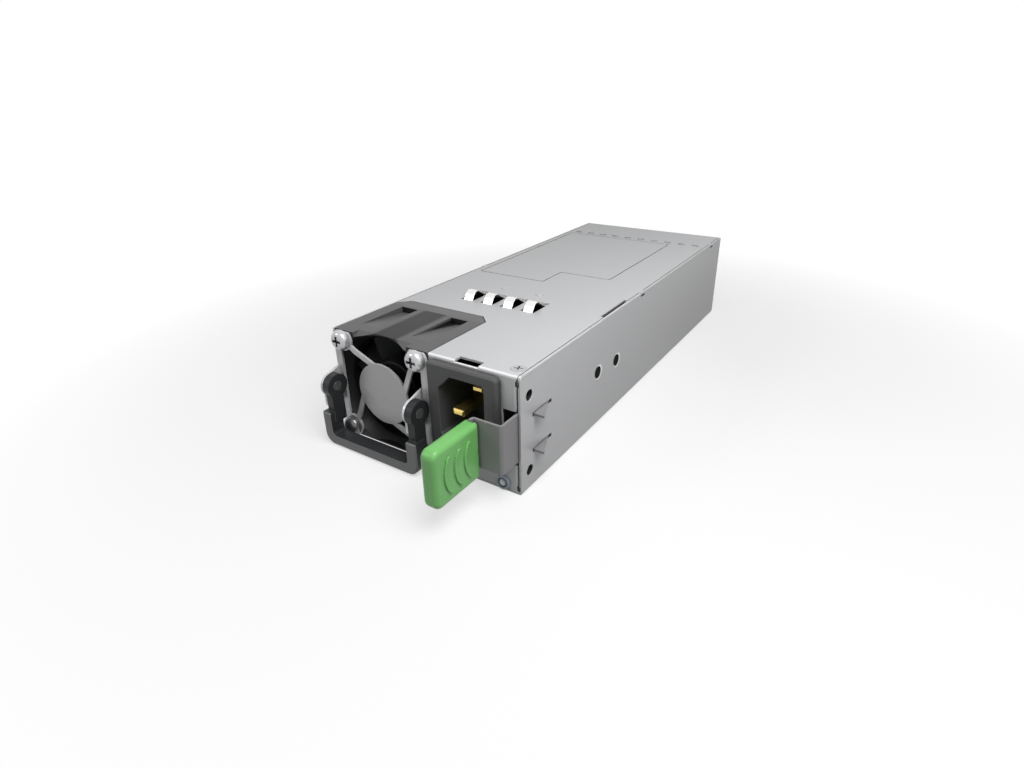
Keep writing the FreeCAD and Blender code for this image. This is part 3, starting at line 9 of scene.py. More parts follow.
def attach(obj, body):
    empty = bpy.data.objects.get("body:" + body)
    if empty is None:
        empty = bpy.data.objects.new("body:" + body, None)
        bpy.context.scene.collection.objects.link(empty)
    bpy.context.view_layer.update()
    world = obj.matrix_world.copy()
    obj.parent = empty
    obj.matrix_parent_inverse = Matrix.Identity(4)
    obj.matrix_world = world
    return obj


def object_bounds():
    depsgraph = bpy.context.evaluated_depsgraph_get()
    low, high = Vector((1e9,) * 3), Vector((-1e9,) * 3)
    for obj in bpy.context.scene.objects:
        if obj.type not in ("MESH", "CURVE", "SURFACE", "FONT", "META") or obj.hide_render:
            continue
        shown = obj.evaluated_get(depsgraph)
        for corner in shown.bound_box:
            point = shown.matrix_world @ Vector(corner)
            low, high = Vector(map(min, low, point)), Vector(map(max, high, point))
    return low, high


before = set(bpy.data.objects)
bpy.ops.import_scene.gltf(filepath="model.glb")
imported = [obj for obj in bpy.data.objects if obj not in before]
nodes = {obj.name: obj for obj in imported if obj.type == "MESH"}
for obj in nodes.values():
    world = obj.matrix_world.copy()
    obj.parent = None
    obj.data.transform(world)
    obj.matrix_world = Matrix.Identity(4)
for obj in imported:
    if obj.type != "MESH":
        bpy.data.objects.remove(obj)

cad_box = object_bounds()
scene = bpy.context.scene


# Lengths of the part are in millimetres, with x = 0 in the middle of its width, y = 0 at its front face and
# z = 0 at its bottom. Lengths in node materials, of the lamps and of the floor are in metres.

HALF_LONG = 92.5
WALL_FACE = 36.75
FAN_AXIS = (-15.95, 19.9)
LAMP_AXIS = (30.3, 2.75)
BOARD_TOP = 6.0
BOARD_UNDER = 4.4


def mm(x, y, z):
    """Point in the row frame, in metres, from a place on the part."""
    return Vector((x / 1000, (y - HALF_LONG) / 1000, z / 1000))


# The camera, fitted to the photograph: angles in radians, focal length and shift in pixels

CAMERA_PLACE = (117.198, -123.696, 111.332)
YAW = 0.58654
PITCH = 0.44058
ROLL = -0.01898
FOCAL_LENGTH = 610.05
SHIFT = (-2.607, -15.343)
PHOTO_WIDE = 1024
SENSOR_WIDE = 36


def place_camera():
    """Camera that sees the part as the photograph does."""
    forward = Vector((-math.sin(YAW) * math.cos(PITCH), math.cos(YAW) * math.cos(PITCH), -math.sin(PITCH)))
    right = Vector((math.cos(YAW), math.sin(YAW), 0))
    up = right.cross(forward)
    across = right * math.cos(ROLL) + up * math.sin(ROLL)
    upward = up * math.cos(ROLL) - right * math.sin(ROLL)
    data = bpy.data.cameras.new("camera")
    data.sensor_width = SENSOR_WIDE
    data.lens = FOCAL_LENGTH / PHOTO_WIDE * SENSOR_WIDE
    data.shift_x = SHIFT[0] / PHOTO_WIDE
    data.shift_y = SHIFT[1] / PHOTO_WIDE
    data.clip_start = 0.01
    camera = bpy.data.objects.new("camera", data)
    scene.collection.objects.link(camera)
    turn = Matrix((across, upward, -forward)).transposed().to_4x4()
    camera.matrix_world = Matrix.Translation(mm(*CAMERA_PLACE)) @ turn
    scene.camera = camera


place_camera()


# Node materials

NOISE_RANGE = (0.3, 0.7)
BEVEL_SAMPLES = 4
AO_SAMPLES = 4


def add(tree, kind, settings=None, inputs=None):
    """Node with its settings, and with each input set to a value or linked to a socket."""
    made = tree.nodes.new(kind)
    for key, value in (settings or {}).items():
        setattr(made, key, value)
    for key, value in (inputs or {}).items():
        if isinstance(value, bpy.types.NodeSocket):
            tree.links.new(value, made.inputs[key])
        else:
            made.inputs[key].default_value = value
    return made


def blank(name):
    material = bpy.data.materials.new(name)
    material.use_nodes = True
    tree = material.node_tree
    return material, tree, tree.nodes["Principled BSDF"]


def scaled(colour, factor):
    return tuple(min(c * factor, 1.0) for c in colour) + (1.0,)


def opaque(colour):
    return tuple(colour) + (1.0,)


def object_place(tree):
    return add(tree, "ShaderNodeTexCoord").outputs["Object"]


def noise(tree, where, size, detail=2.0, stretch=(1, 1, 1)):
    mapped = add(tree, "ShaderNodeMapping", inputs={"Vector": where, "Scale": stretch})
    return add(tree, "ShaderNodeTexNoise", inputs={"Vector": mapped.outputs[0], "Scale": 1 / size,
                                                   "Detail": detail}).outputs["Fac"]


def mix(tree, factor, a, b):
    return add(tree, "ShaderNodeMix", {"data_type": "RGBA"}, {0: factor, 6: a, 7: b}).outputs[2]


def ramp(tree, value, low, high, to_low=0.0, to_high=1.0):
    return add(tree, "ShaderNodeMapRange", inputs={"Value": value, "From Min": low, "From Max": high,
                                                   "To Min": to_low, "To Max": to_high}).outputs[0]


def spread(tree, value, to_low=0.0, to_high=1.0):
    """A noise value spread over a full range, since noise seldom leaves the middle."""
    return ramp(tree, value, *NOISE_RANGE, to_low, to_high)


def times(tree, a, b):
    return add(tree, "ShaderNodeMath", {"operation": "MULTIPLY"}, {0: a, 1: b}).outputs[0]


def larger(tree, a, b):
    return add(tree, "ShaderNodeMath", {"operation": "MAXIMUM"}, {0: a, 1: b}).outputs[0]


def vector_maths(tree, operation, *inputs):
    """Vector of a vector math node, or its number where the operation gives one."""
    made = add(tree, "ShaderNodeVectorMath", {"operation": operation}, dict(enumerate(inputs)))
    return made.outputs["Value" if operation in ("DOT_PRODUCT", "LENGTH") else "Vector"]


def parts_of(tree, vector):
    split = add(tree, "ShaderNodeSeparateXYZ", inputs={0: vector})
    return split.outputs[0], split.outputs[1], split.outputs[2]


def edge_mask(tree, radius, strength):
    """Up to strength along sharp edges, where the bevelled normal leaves the face's normal."""
    soft = add(tree, "ShaderNodeBevel", {"samples": BEVEL_SAMPLES}, {"Radius": radius}).outputs[0]
    flat = add(tree, "ShaderNodeNewGeometry").outputs["Normal"]
    return ramp(tree, vector_maths(tree, "DOT_PRODUCT", soft, flat), 0.995, 0.75, 0.0, strength)


def finish(name, colour, rough, metallic=0.0, tone=0.06, tone_size=0.02, grain=0.04, grain_size=0.0006,
           stretch=(1, 1, 1), rough_spread=0.06, bump=0.08, soft=0.0002, wear_and_glint=0.0, wear_and_glint_colour=None, coat=0.0,
           specular=0.5, streak=0.0, recess_shade=0.0, recess_shade_reach=0.0012, edge=0.00035, shades=()):
    """Surface with slow changes of tone, fine grain, softened edges, edges lightened as wear and as a painted
    highlight, and painted shade in its recesses.

    tone, grain, streak, wear_and_glint and recess_shade are strengths. wear_and_glint lightens the edges
    within edge, as wear and as a painted highlight, and recess_shade paints shade into recesses narrower than
    recess_shade_reach. Each of shades is a mask function and the colour that it brings in."""
    material, tree, shader = blank(name)
    where = object_place(tree)
    slow = noise(tree, where, tone_size, 3.0)
    fine = noise(tree, where, grain_size, 2.0, stretch)
    base = mix(tree, spread(tree, slow), scaled(colour, 1 - tone), scaled(colour, 1 + tone))
    base = mix(tree, spread(tree, fine, 0.0, grain * 2), base, scaled(colour, 0.6))
    if streak:
        long_marks = noise(tree, where, 0.004, 4.0, (6.0, 0.12, 6.0))
        base = mix(tree, ramp(tree, long_marks, 0.56, 0.72, 0.0, streak), base, scaled(colour, 1.35))
    # Lighter edges, partly wear and partly a painted highlight
    if wear_and_glint:
        worn_and_glinting = opaque(wear_and_glint_colour) if wear_and_glint_colour else scaled(colour, 1.5)
        patchy = ramp(tree, noise(tree, where, 0.003, 4.0), 0.35, 0.65, 0.35, 1.0)
        base = mix(tree, times(tree, edge_mask(tree, edge, wear_and_glint), patchy), base, worn_and_glinting)
    # Painted shade: darkening from ambient occlusion in recesses
    if recess_shade:
        occlusion = add(tree, "ShaderNodeAmbientOcclusion", {"samples": AO_SAMPLES}, {"Distance": recess_shade_reach})
        recess_dark = ramp(tree, occlusion.outputs["AO"], 0.75, 0.25, 0.0, recess_shade)
        base = mix(tree, recess_dark, base, scaled(colour, 0.08))
    for mask, other in shades:
        base = mix(tree, mask(tree, where), base, opaque(other))
    tree.links.new(base, shader.inputs["Base Color"])
    tree.links.new(spread(tree, slow, rough - rough_spread, rough + rough_spread), shader.inputs["Roughness"])
    shader.inputs["Metallic"].default_value = metallic
    shader.inputs["Specular IOR Level"].default_value = specular
    shader.inputs["Coat Weight"].default_value = coat
    shader.inputs["Coat Roughness"].default_value = 0.15
    rounded = add(tree, "ShaderNodeBevel", {"samples": BEVEL_SAMPLES}, {"Radius": soft})
    bumped = add(tree, "ShaderNodeBump", inputs={"Height": fine, "Strength": bump, "Distance": 0.00008,
                                                 "Normal": rounded.outputs[0]})
    tree.links.new(bumped.outputs[0], shader.inputs["Normal"])
    return material


# Masks, each 1 where its colour is to show, and what they are made from. Distances in ramps are in metres.

def off_axis(tree, where, x, z):
    """Vector across from the line along y through x, z in millimetres."""
    away = vector_maths(tree, "SUBTRACT", where, tuple(mm(x, 0, z)))
    return vector_maths(tree, "MULTIPLY", away, (1, 0, 1))


def from_axis(tree, where, x, z):
    """Distance from that line."""
    return vector_maths(tree, "LENGTH", off_axis(tree, where, x, z))


def bore_shade(tree, where):
    """Painted shade on the walls of the fan's bore and flare and on the frame's front, which lie in shadow.
    """
    normal = add(tree, "ShaderNodeNewGeometry").outputs["True Normal"]
    front = ramp(tree, parts_of(tree, normal)[1], -0.7, -0.9, 0.0, 0.9)
    reach = from_axis(tree, where, *FAN_AXIS)
    bore = ramp(tree, reach, 0.0199, 0.0195, 0.0, 0.97)
    outward = vector_maths(tree, "NORMALIZE", off_axis(tree, where, *FAN_AXIS))
    inward = ramp(tree, vector_maths(tree, "DOT_PRODUCT", outward, normal), -0.2, -0.4, 0.0, 0.97)
    flare = times(tree, inward, ramp(tree, reach, 0.0215, 0.0212))
    return larger(tree, larger(tree, front, bore), flare)


def handle_shade_off_front(tree, where):
    """Painted shade over all of the handle but the lit front faces of its lower legs and bar, which stay
    paler.
    """
    normal = add(tree, "ShaderNodeNewGeometry").outputs["True Normal"]
    ahead = ramp(tree, parts_of(tree, normal)[1], -0.35, -0.8)
    low = ramp(tree, parts_of(tree, where)[2], 0.0123, 0.0119)
    return ramp(tree, times(tree, ahead, low), 0.0, 1.0, 1.0, 0.0)


def ear_rim_glint(tree, where):
    """Painted glint along the edges of the guard's two ears."""
    ahead = ramp(tree, parts_of(tree, where)[1], mm(0, -1.0, 0).y, mm(0, -1.6, 0).y)
    return times(tree, ahead, edge_mask(tree, 0.0008, 1.0))


def off_disc(tree, where):
    """In part the guard's arms and strips, which catch more light than its disc."""
    return ramp(tree, from_axis(tree, where, *FAN_AXIS), 0.0108, 0.0116, 0.0, 0.4)


def round_lens(tree, where):
    """The dark ring of the bezel round the lens."""
    reach = from_axis(tree, where, *LAMP_AXIS)
    return times(tree, ramp(tree, reach, 0.0019, 0.0017), ramp(tree, reach, 0.0012, 0.0013))


def painted_falloff_shade(tree, where):
    """Painted shade: darker towards the bottom, the rear and the left, up to a half, where less light falls.
    """
    return ramp(tree, vector_maths(tree, "DOT_PRODUCT", where, (-3.3, 1.2, -7.7)), -0.49, 0.01, 0.0, 0.5)


WALL_HOLES = ((4.5, 31.7), (4.6, 6.6))


def wall_hole_shade(tree, where):
    """Painted shade inside the two round holes near the front of the right wall."""
    masks = []
    for y, z in WALL_HOLES:
        away = vector_maths(tree, "SUBTRACT", where, tuple(mm(0, y, z)))
        reach = vector_maths(tree, "LENGTH", vector_maths(tree, "MULTIPLY", away, (0, 1, 1)))
        masks.append(ramp(tree, reach, 0.0024, 0.0021, 0.0, 0.95))
    across = parts_of(tree, where)[0]
    in_wall = times(tree, ramp(tree, across, 0.0366, 0.0364), ramp(tree, across, 0.030, 0.031))
    return times(tree, larger(tree, *masks), in_wall)


def front_lip_highlight(tree, where):
    """Painted highlight along the cover's front edge, where the fold catches the light."""
    ahead = ramp(tree, parts_of(tree, where)[1], mm(0, 0.75, 0).y, mm(0, 0.35, 0).y, 0.0, 0.85)
    return times(tree, ahead, ramp(tree, parts_of(tree, where)[2], 0.0379, 0.0382))


def lower_screw_shade(tree, where):
    """Painted shade on the two lower fan screws, which lie in shadow and look darker than the upper ones."""
    return ramp(tree, parts_of(tree, where)[2], 0.012, 0.008, 0.0, 0.85)


# Plated sheet with painted shade towards the bottom, the rear and the left, a painted highlight along the
# cover's front edge and painted shade inside the wall's two front holes
steel = finish("zinc_plated_sheet", (0.56, 0.565, 0.575), 0.4, 0.12, tone=0.035, tone_size=0.05, grain=0.03,
               grain_size=0.0005, stretch=(1, 0.15, 1), rough_spread=0.05, bump=0.05, wear_and_glint=0.85,
               wear_and_glint_colour=(0.95, 0.95, 0.96), streak=0.05, recess_shade=1.0, recess_shade_reach=0.0022, edge=0.0004,
               shades=((painted_falloff_shade, (0.2, 0.2, 0.205)), (front_lip_highlight, (0.97, 0.97, 0.98)),
                       (wall_hole_shade, (0.01, 0.01, 0.01))))
flush_steel = finish("flush_screw_plating", (0.5, 0.5, 0.51), 0.34, 0.2, tone=0.05, grain=0.03, recess_shade=0.9,
                     wear_and_glint=0.4, wear_and_glint_colour=(0.8, 0.8, 0.8))
# Latch rivets painted nearly black as shade, with a painted glint along their edges
rivet_shade_and_glint = finish("rivet_painted_shade_and_glint", (0.035, 0.035, 0.036), 0.3, 0.3, tone=0.1, grain=0.05, wear_and_glint=1.0,
                     wear_and_glint_colour=(0.95, 0.95, 0.95), edge=0.0005)
front_steel = finish("spring_steel", (0.27, 0.264, 0.27), 0.5, 0.08, tone=0.05, grain=0.04, grain_size=0.0004,
                     stretch=(1, 0.1, 1), wear_and_glint=0.6, wear_and_glint_colour=(0.7, 0.7, 0.71), recess_shade=0.5, specular=0.3)
# Guard steel, with a painted highlight on its arms and a painted glint on the edges of its ears
guard_steel = finish("guard_steel", (0.46, 0.46, 0.465), 0.3, 0.2, tone=0.04, grain=0.03, wear_and_glint=0.3,
                     wear_and_glint_colour=(0.8, 0.8, 0.8), recess_shade=0.6,
                     shades=((off_disc, (0.8, 0.8, 0.8)), (ear_rim_glint, (0.98, 0.98, 0.98))))
dark_steel = finish("blackened_steel", (0.12, 0.12, 0.125), 0.3, 0.4, tone=0.1, grain=0.05, wear_and_glint=0.6,
                    wear_and_glint_colour=(0.5, 0.5, 0.5), recess_shade=0.6)
bright = finish("bright_plating", (0.66, 0.66, 0.67), 0.2, 0.35, tone=0.03, grain=0.02, rough_spread=0.04,
                bump=0.03, wear_and_glint=0.3, wear_and_glint_colour=(0.95, 0.95, 0.95), recess_shade=0.4)
# Screw plating, with painted shade on the two lower screws
screw_plate = finish("screw_plating", (0.58, 0.58, 0.6), 0.16, 0.5, tone=0.05, grain=0.02, rough_spread=0.04,
                     bump=0.03, recess_shade=1.0, recess_shade_reach=0.002, shades=((lower_screw_shade, (0.09, 0.09, 0.095)),))
tin = finish("tin_plated_strip", (0.88, 0.88, 0.86), 0.2, 0.6, tone=0.03, grain=0.02, rough_spread=0.05,
             bump=0.03, recess_shade=0.3)
# Painted glint and painted shadow for the rolled rivet heads
rim_glint_white = finish("rim_glint", (0.93, 0.93, 0.92), 0.3, tone=0.02, grain=0.02)
dish_shadow_black = finish("dish_shadow", (0.006, 0.006, 0.006), 0.85, tone=0.2, grain=0.1, bump=0.05, specular=0.08)
# Fan plastic, with painted shade on its bore, flare and front
fan_black = finish("fan_plastic", (0.106, 0.106, 0.109), 0.42, tone=0.12, grain=0.08, grain_size=0.0003,
                   bump=0.16, wear_and_glint=0.35, wear_and_glint_colour=(0.25, 0.25, 0.25), specular=0.2, recess_shade=0.7,
                   shades=((bore_shade, (0.008, 0.008, 0.0085)),))
rotor_black = finish("rotor_plastic", (0.016, 0.016, 0.017), 0.36, tone=0.1, grain=0.06, grain_size=0.0003,
                     wear_and_glint=0.3, wear_and_glint_colour=(0.08, 0.08, 0.08), specular=0.1, recess_shade=0.8, recess_shade_reach=0.006)
duct_grey = finish("duct_plastic", (0.1, 0.1, 0.102), 0.45, tone=0.1, grain=0.08, grain_size=0.0003,
                   bump=0.16, recess_shade=0.6)
# Handle plastic: paler on the lit front faces of its lower legs and bar, painted dark elsewhere as shade
bail_grey = finish("handle_plastic", (0.22, 0.22, 0.224), 0.42, tone=0.08, grain=0.1, grain_size=0.00035,
                   bump=0.2, soft=0.0003, wear_and_glint=0.45, wear_and_glint_colour=(0.4, 0.4, 0.4), specular=0.25, recess_shade=0.7,
                   shades=((handle_shade_off_front, (0.024, 0.026, 0.028)),))
inlet_black = finish("inlet_plastic", (0.098, 0.098, 0.101), 0.36, tone=0.08, grain=0.06, grain_size=0.0003,
                     bump=0.12, wear_and_glint=0.5, wear_and_glint_colour=(0.28, 0.28, 0.28), specular=0.25, recess_shade=0.9,
                     recess_shade_reach=0.006)
green = finish("grip_plastic", (0.185, 0.52, 0.145), 0.3, grain=0.05, grain_size=0.0004, bump=0.12,
               soft=0.0005, wear_and_glint=0.8, wear_and_glint_colour=(0.34, 0.9, 0.3), specular=0.45, recess_shade=0.95,
               recess_shade_reach=0.0009, edge=0.0006)
brass = finish("brass", (0.8, 0.6, 0.2), 0.24, 0.9, tone=0.08, wear_and_glint=0.4, wear_and_glint_colour=(0.95, 0.8, 0.4),
               recess_shade=0.4)
gold = finish("gold_plating", (0.85, 0.62, 0.22), 0.2, 0.95, tone=0.03, grain=0.02)
ferrite = finish("ferrite", (0.05, 0.05, 0.055), 0.5, 0.2, tone=0.15, grain=0.15, grain_size=0.0003, bump=0.3)
copper = finish("enamelled_copper", (0.5, 0.19, 0.06), 0.22, 0.6, tone=0.1, grain=0.03, coat=0.4)
tape = finish("winding_tape", (0.62, 0.48, 0.06), 0.34, tone=0.1, stretch=(1, 1, 8), bump=0.12)
aluminium = finish("aluminium", (0.66, 0.67, 0.68), 0.32, 0.85, tone=0.04, grain=0.05, grain_size=0.0003,
                   stretch=(1, 0.1, 1), wear_and_glint=0.3, wear_and_glint_colour=(0.85, 0.85, 0.86))
sleeve = finish("capacitor_sleeve", (0.02, 0.022, 0.035), 0.26, tone=0.1, grain=0.03, coat=0.3)
epoxy = finish("moulded_epoxy", (0.025, 0.025, 0.026), 0.55, tone=0.1, grain=0.12, grain_size=0.0002,
               bump=0.2)
film_case = finish("film_capacitor_case", (0.62, 0.46, 0.06), 0.34, tone=0.05, grain=0.03)
ceramic = finish("ceramic", (0.7, 0.68, 0.62), 0.3, tone=0.04, grain=0.03)
insulator = finish("insulating_film", (0.62, 0.61, 0.56), 0.4, tone=0.04, grain=0.02)
wire_black = finish("wire_insulation", (0.02, 0.02, 0.02), 0.38, tone=0.1, grain=0.05)
bezel = finish("lamp_bezel", (0.32, 0.38, 0.48), 0.25, grain=0.03, coat=0.5, wear_and_glint=0.5,
               wear_and_glint_colour=(0.6, 0.66, 0.72), recess_shade=0.5, shades=((round_lens, (0.03, 0.035, 0.045)),))


def board_material():
    """Solder mask over faint copper runs."""
    material, tree, shader = blank("circuit_board")
    where = object_place(tree)
    runs = add(tree, "ShaderNodeTexVoronoi", {"distance": "MANHATTAN", "feature": "F1"},
               {"Vector": where, "Scale": 260.0}).outputs["Distance"]
    lines = ramp(tree, runs, 0.42, 0.5, 0.0, 0.7)
    speckle = noise(tree, where, 0.0008, 3.0)
    base = mix(tree, lines, (0.012, 0.095, 0.035, 1), (0.03, 0.2, 0.075, 1))
    base = mix(tree, ramp(tree, speckle, 0.4, 0.7, 0.0, 0.35), base, (0.02, 0.12, 0.05, 1))
    tree.links.new(base, shader.inputs["Base Color"])
    tree.links.new(spread(tree, speckle, 0.28, 0.42), shader.inputs["Roughness"])
    shader.inputs["Coat Weight"].default_value = 0.3
    bumped = add(tree, "ShaderNodeBump", inputs={"Height": lines, "Strength": 0.2, "Distance": 0.00005})
    tree.links.new(bumped.outputs[0], shader.inputs["Normal"])
    return material


def lens_glint_material():
    """Moulded lens with a paler middle, a painted highlight."""
    material, tree, shader = blank("lamp_lens")
    where = object_place(tree)
    reach = from_axis(tree, where, *LAMP_AXIS)
    ripple = noise(tree, where, 0.0006)
    base = mix(tree, ramp(tree, reach, 0.0004, 0.0013), (0.85, 0.9, 0.95, 1), (0.12, 0.16, 0.22, 1))
    base = mix(tree, ramp(tree, ripple, 0.4, 0.7, 0.0, 0.3), base, (0.3, 0.36, 0.44, 1))
    tree.links.new(base, shader.inputs["Base Color"])
    shader.inputs["Roughness"].default_value = 0.08
    shader.inputs["Coat Weight"].default_value = 1.0
    shader.inputs["Coat Roughness"].default_value = 0.05
    return material


board = board_material()
lens = lens_glint_material()

looks = {
    steel: ["chassis_tray", "top_cover"],
    front_steel: ["latch_spring", "latch_root", "fan_stator_core"],
    guard_steel: ["fan_guard"],
    screw_plate: ["fan_screws"],
    bright: ["board_standoffs", "board_screws", "fan_shaft", "fan_bearings"],
    flush_steel: ["cover_screw", "strip_rivets"],
    rivet_shade_and_glint: ["latch_rivets"],
    dark_steel: ["handle_pins"],
    tin: ["ground_fingers", "finger_strip"],
    fan_black: ["fan_frame"],
    rotor_black: ["fan_rotor"],
    duct_grey: ["fan_duct"],
    bail_grey: ["bail_handle"],
    inlet_black: ["ac_inlet"],
    green: ["latch_grip"],
    brass: ["inlet_pins"],
    gold: ["edge_contacts"],
    ferrite: ["fan_magnet_ring", "line_filter_core", "pfc_core", "transformer_core", "output_choke_core"],
    copper: ["fan_windings", "line_filter_windings", "pfc_winding", "output_choke_winding"],
    tape: ["transformer_winding"],
    aluminium: ["primary_heatsink", "secondary_heatsink"],
    sleeve: ["bulk_capacitors", "output_capacitors"],
    epoxy: ["inrush_relay", "bridge_rectifier", "power_transistors", "control_chips"],
    film_case: ["x_capacitors"],
    ceramic: ["fuse"],
    insulator: ["insulation_sheet"],
    wire_black: ["inlet_leads"],
    bezel: ["lamp_bezel"],
    board: ["main_board", "control_board", "fan_circuit_board"],
    lens: ["lamp_lens", "status_lamp"],
}
for look, names in looks.items():
    for name in names:
        node = nodes[name]
        node.data.materials.clear()
        node.data.materials.append(look)


# Own pieces: solder, small board parts, leads and markings that the solids leave out

SMOOTH_BELOW = math.radians(38)
CLEARANCE = 0.5
EDGE_MARGIN = 0.4
RAY_GRID = [k / 3 for k in range(-3, 4)]
UP = Vector((0, 0, 1))
BOARD_WITHIN = 0.3
FREE_X = (-32, 32)
FREE_Y = (38, 181)
TRIES_PER_PLACE = 60
chance = random.Random(11)


def skin(rings):
    """Closed skin over rings of equal counts of points, with a face on the first and the last."""
    count = len(rings[0])
    points = [point for ring in rings for point in ring]
    faces = []
    for level in range(len(rings) - 1):
        low = level * count
        for i in range(count):
            j = (i + 1) % count
            faces.append((low + i, low + j, low + count + j, low + count + i))
    faces.append(tuple(reversed(range(count))))
    faces.append(tuple(range(len(points) - count, len(points))))
    return points, faces


def piece(name, shapes, look, body="case"):
    """One object from closed shapes, smooth where it curves and crisp at its corners."""
    points, faces = [], []
    for own_points, own_faces in shapes:
        start = len(points)
        points += own_points
        faces += [tuple(start + i for i in face) for face in own_faces]
    mesh = bpy.data.meshes.new(name)
    mesh.from_pydata(points, [], faces)
    form = bmesh.new()
    form.from_mesh(mesh)
    bmesh.ops.recalc_face_normals(form, faces=form.faces)
    form.to_mesh(mesh)
    form.free()
    mesh.polygons.foreach_set("use_smooth", [True] * len(mesh.polygons))
    mesh.set_sharp_from_angle(angle=SMOOTH_BELOW)
    mesh.materials.append(look)
    made = bpy.data.objects.new(name, mesh)
    scene.collection.objects.link(made)
    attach(made, body)


def eased(x0, x1, y0, y1, z0, z1, ease):
    """Block with its upright corners and upper edges cut back by ease."""
    def ring(z, inset):
        a, b, c, d = x0 + inset, x1 - inset, y0 + inset, y1 - inset
        return [mm(a + ease, c, z), mm(b - ease, c, z), mm(b, c + ease, z), mm(b, d - ease, z),
                mm(b - ease, d, z), mm(a + ease, d, z), mm(a, d - ease, z), mm(a, c + ease, z)]
    return skin([ring(z0, 0), ring(z1 - ease, 0), ring(z1, ease)])


def round_form(axis, x, y, z, profile, sides=16):
    """Turned form along an axis through x, y, z, from (radius, distance along the axis) pairs."""
    rings = []
    for radius, reach in profile:
        ring = []
        for i in range(sides):
            angle = 2 * math.pi * i / sides
            a, b = radius * math.cos(angle), radius * math.sin(angle)
            offset = {"z": (a, b, reach), "y": (b, reach, a), "x": (reach, a, b)}[axis]
            ring.append(mm(x + offset[0], y + offset[1], z + offset[2]))
        rings.append(ring)
    return skin(rings)


def wire(path, radius, sides=8, steps=5):
    """Round wire on a smooth line through the points of path."""
    knots = [Vector(p) for p in path]
    line = []
    for i in range(len(knots) - 1):
        before = knots[max(i - 1, 0)]
        after = knots[min(i + 2, len(knots) - 1)]
        for k in range(steps):
            t = k / steps
            a, b = knots[i], knots[i + 1]
            line.append(0.5 * (2 * a + (b - before) * t + (2 * before - 5 * a + 4 * b - after) * t * t
                               + (3 * a - before - 3 * b + after) * t * t * t))
    line.append(knots[-1])
    rings = []
    side = None
    for i, point in enumerate(line):
        along = (line[min(i + 1, len(line) - 1)] - line[max(i - 1, 0)]).normalized()
        guess = side or (Vector((1, 0, 0)) if abs(along.x) < 0.8 else Vector((0, 1, 0)))
        side = (guess - along * guess.dot(along)).normalized()
        other = along.cross(side)
        ring = []
        for k in range(sides):
            angle = 2 * math.pi * k / sides
            spot = point + (side * math.cos(angle) + other * math.sin(angle)) * radius
            ring.append(mm(*spot))
        rings.append(ring)
    return skin(rings)


def tree_of_nodes():
    """Search tree over the faces of all solids."""
    points, faces = [], []
    for node in nodes.values():
        start = len(points)
        points += [v.co.copy() for v in node.data.vertices]
        faces += [tuple(start + i for i in polygon.vertices) for polygon in node.data.polygons]
    return BVHTree.FromPolygons(points, faces)


solids = tree_of_nodes()
taken = []


def is_free(x, y, half_x, half_y, height):
    """True where the board is whole and nothing stands over that patch of it, up to height above it."""
    for a, b, c, d in taken:
        if abs(x - a) < half_x + c + CLEARANCE and abs(y - b) < half_y + d + CLEARANCE:
            return False
    for i in RAY_GRID:
        for j in RAY_GRID:
            spot = mm(x + i * (half_x + EDGE_MARGIN), y + j * (half_y + EDGE_MARGIN), BOARD_TOP + 0.05)
            if solids.ray_cast(spot, UP, height / 1000)[0] is not None:
                return False
            if solids.ray_cast(spot, -UP, BOARD_WITHIN / 1000)[0] is None:
                return False
    return True


def find_places(count, half_x, half_y, height):
    """Free patches on the board, found in the same order each time."""
    places = []
    for _ in range(count * TRIES_PER_PLACE):
        if len(places) == count:
            break
        x, y = chance.uniform(*FREE_X), chance.uniform(*FREE_Y)
        turned = chance.random() < 0.5
        a, b = (half_y, half_x) if turned else (half_x, half_y)
        if is_free(x, y, a, b, height):
            taken.append((x, y, a, b))
            places.append((x, y, turned))
    return places


CHIP_COUNT = 120
CHIP_LONG = 0.8
CHIP_WIDE = 0.42
CHIP_TALL = 0.45
CHIP_END = 0.28
CHIP_PLATING = 0.05


def chip_parts():
    """Surface resistors and ceramic capacitors with plated ends."""
    dark, tan, ends = [], [], []
    end_top = BOARD_TOP + CHIP_TALL + CHIP_PLATING
    for i, (x, y, turned) in enumerate(find_places(CHIP_COUNT, CHIP_LONG, CHIP_WIDE, 2.0)):
        a, b = (CHIP_WIDE, CHIP_LONG) if turned else (CHIP_LONG, CHIP_WIDE)
        body_a, body_b = a - CHIP_PLATING, b - CHIP_PLATING
        body = eased(x - body_a, x + body_a, y - body_b, y + body_b, BOARD_TOP, BOARD_TOP + CHIP_TALL, 0.04)
        (dark if i % 2 else tan).append(body)
        for way in (-1, 1):
            cx = x if turned else x + way * (a - CHIP_END / 2)
            cy = y + way * (b - CHIP_END / 2) if turned else y
            ea, eb = (a, CHIP_END / 2) if turned else (CHIP_END / 2, b)
            ends.append(eased(cx - ea, cx + ea, cy - eb, cy + eb, BOARD_TOP, end_top, 0.05))
    piece("chip_resistors", dark, epoxy)
    piece("chip_capacitors", tan, ceramic)
    piece("chip_ends", ends, tin)


LEG_PITCH = 1.27


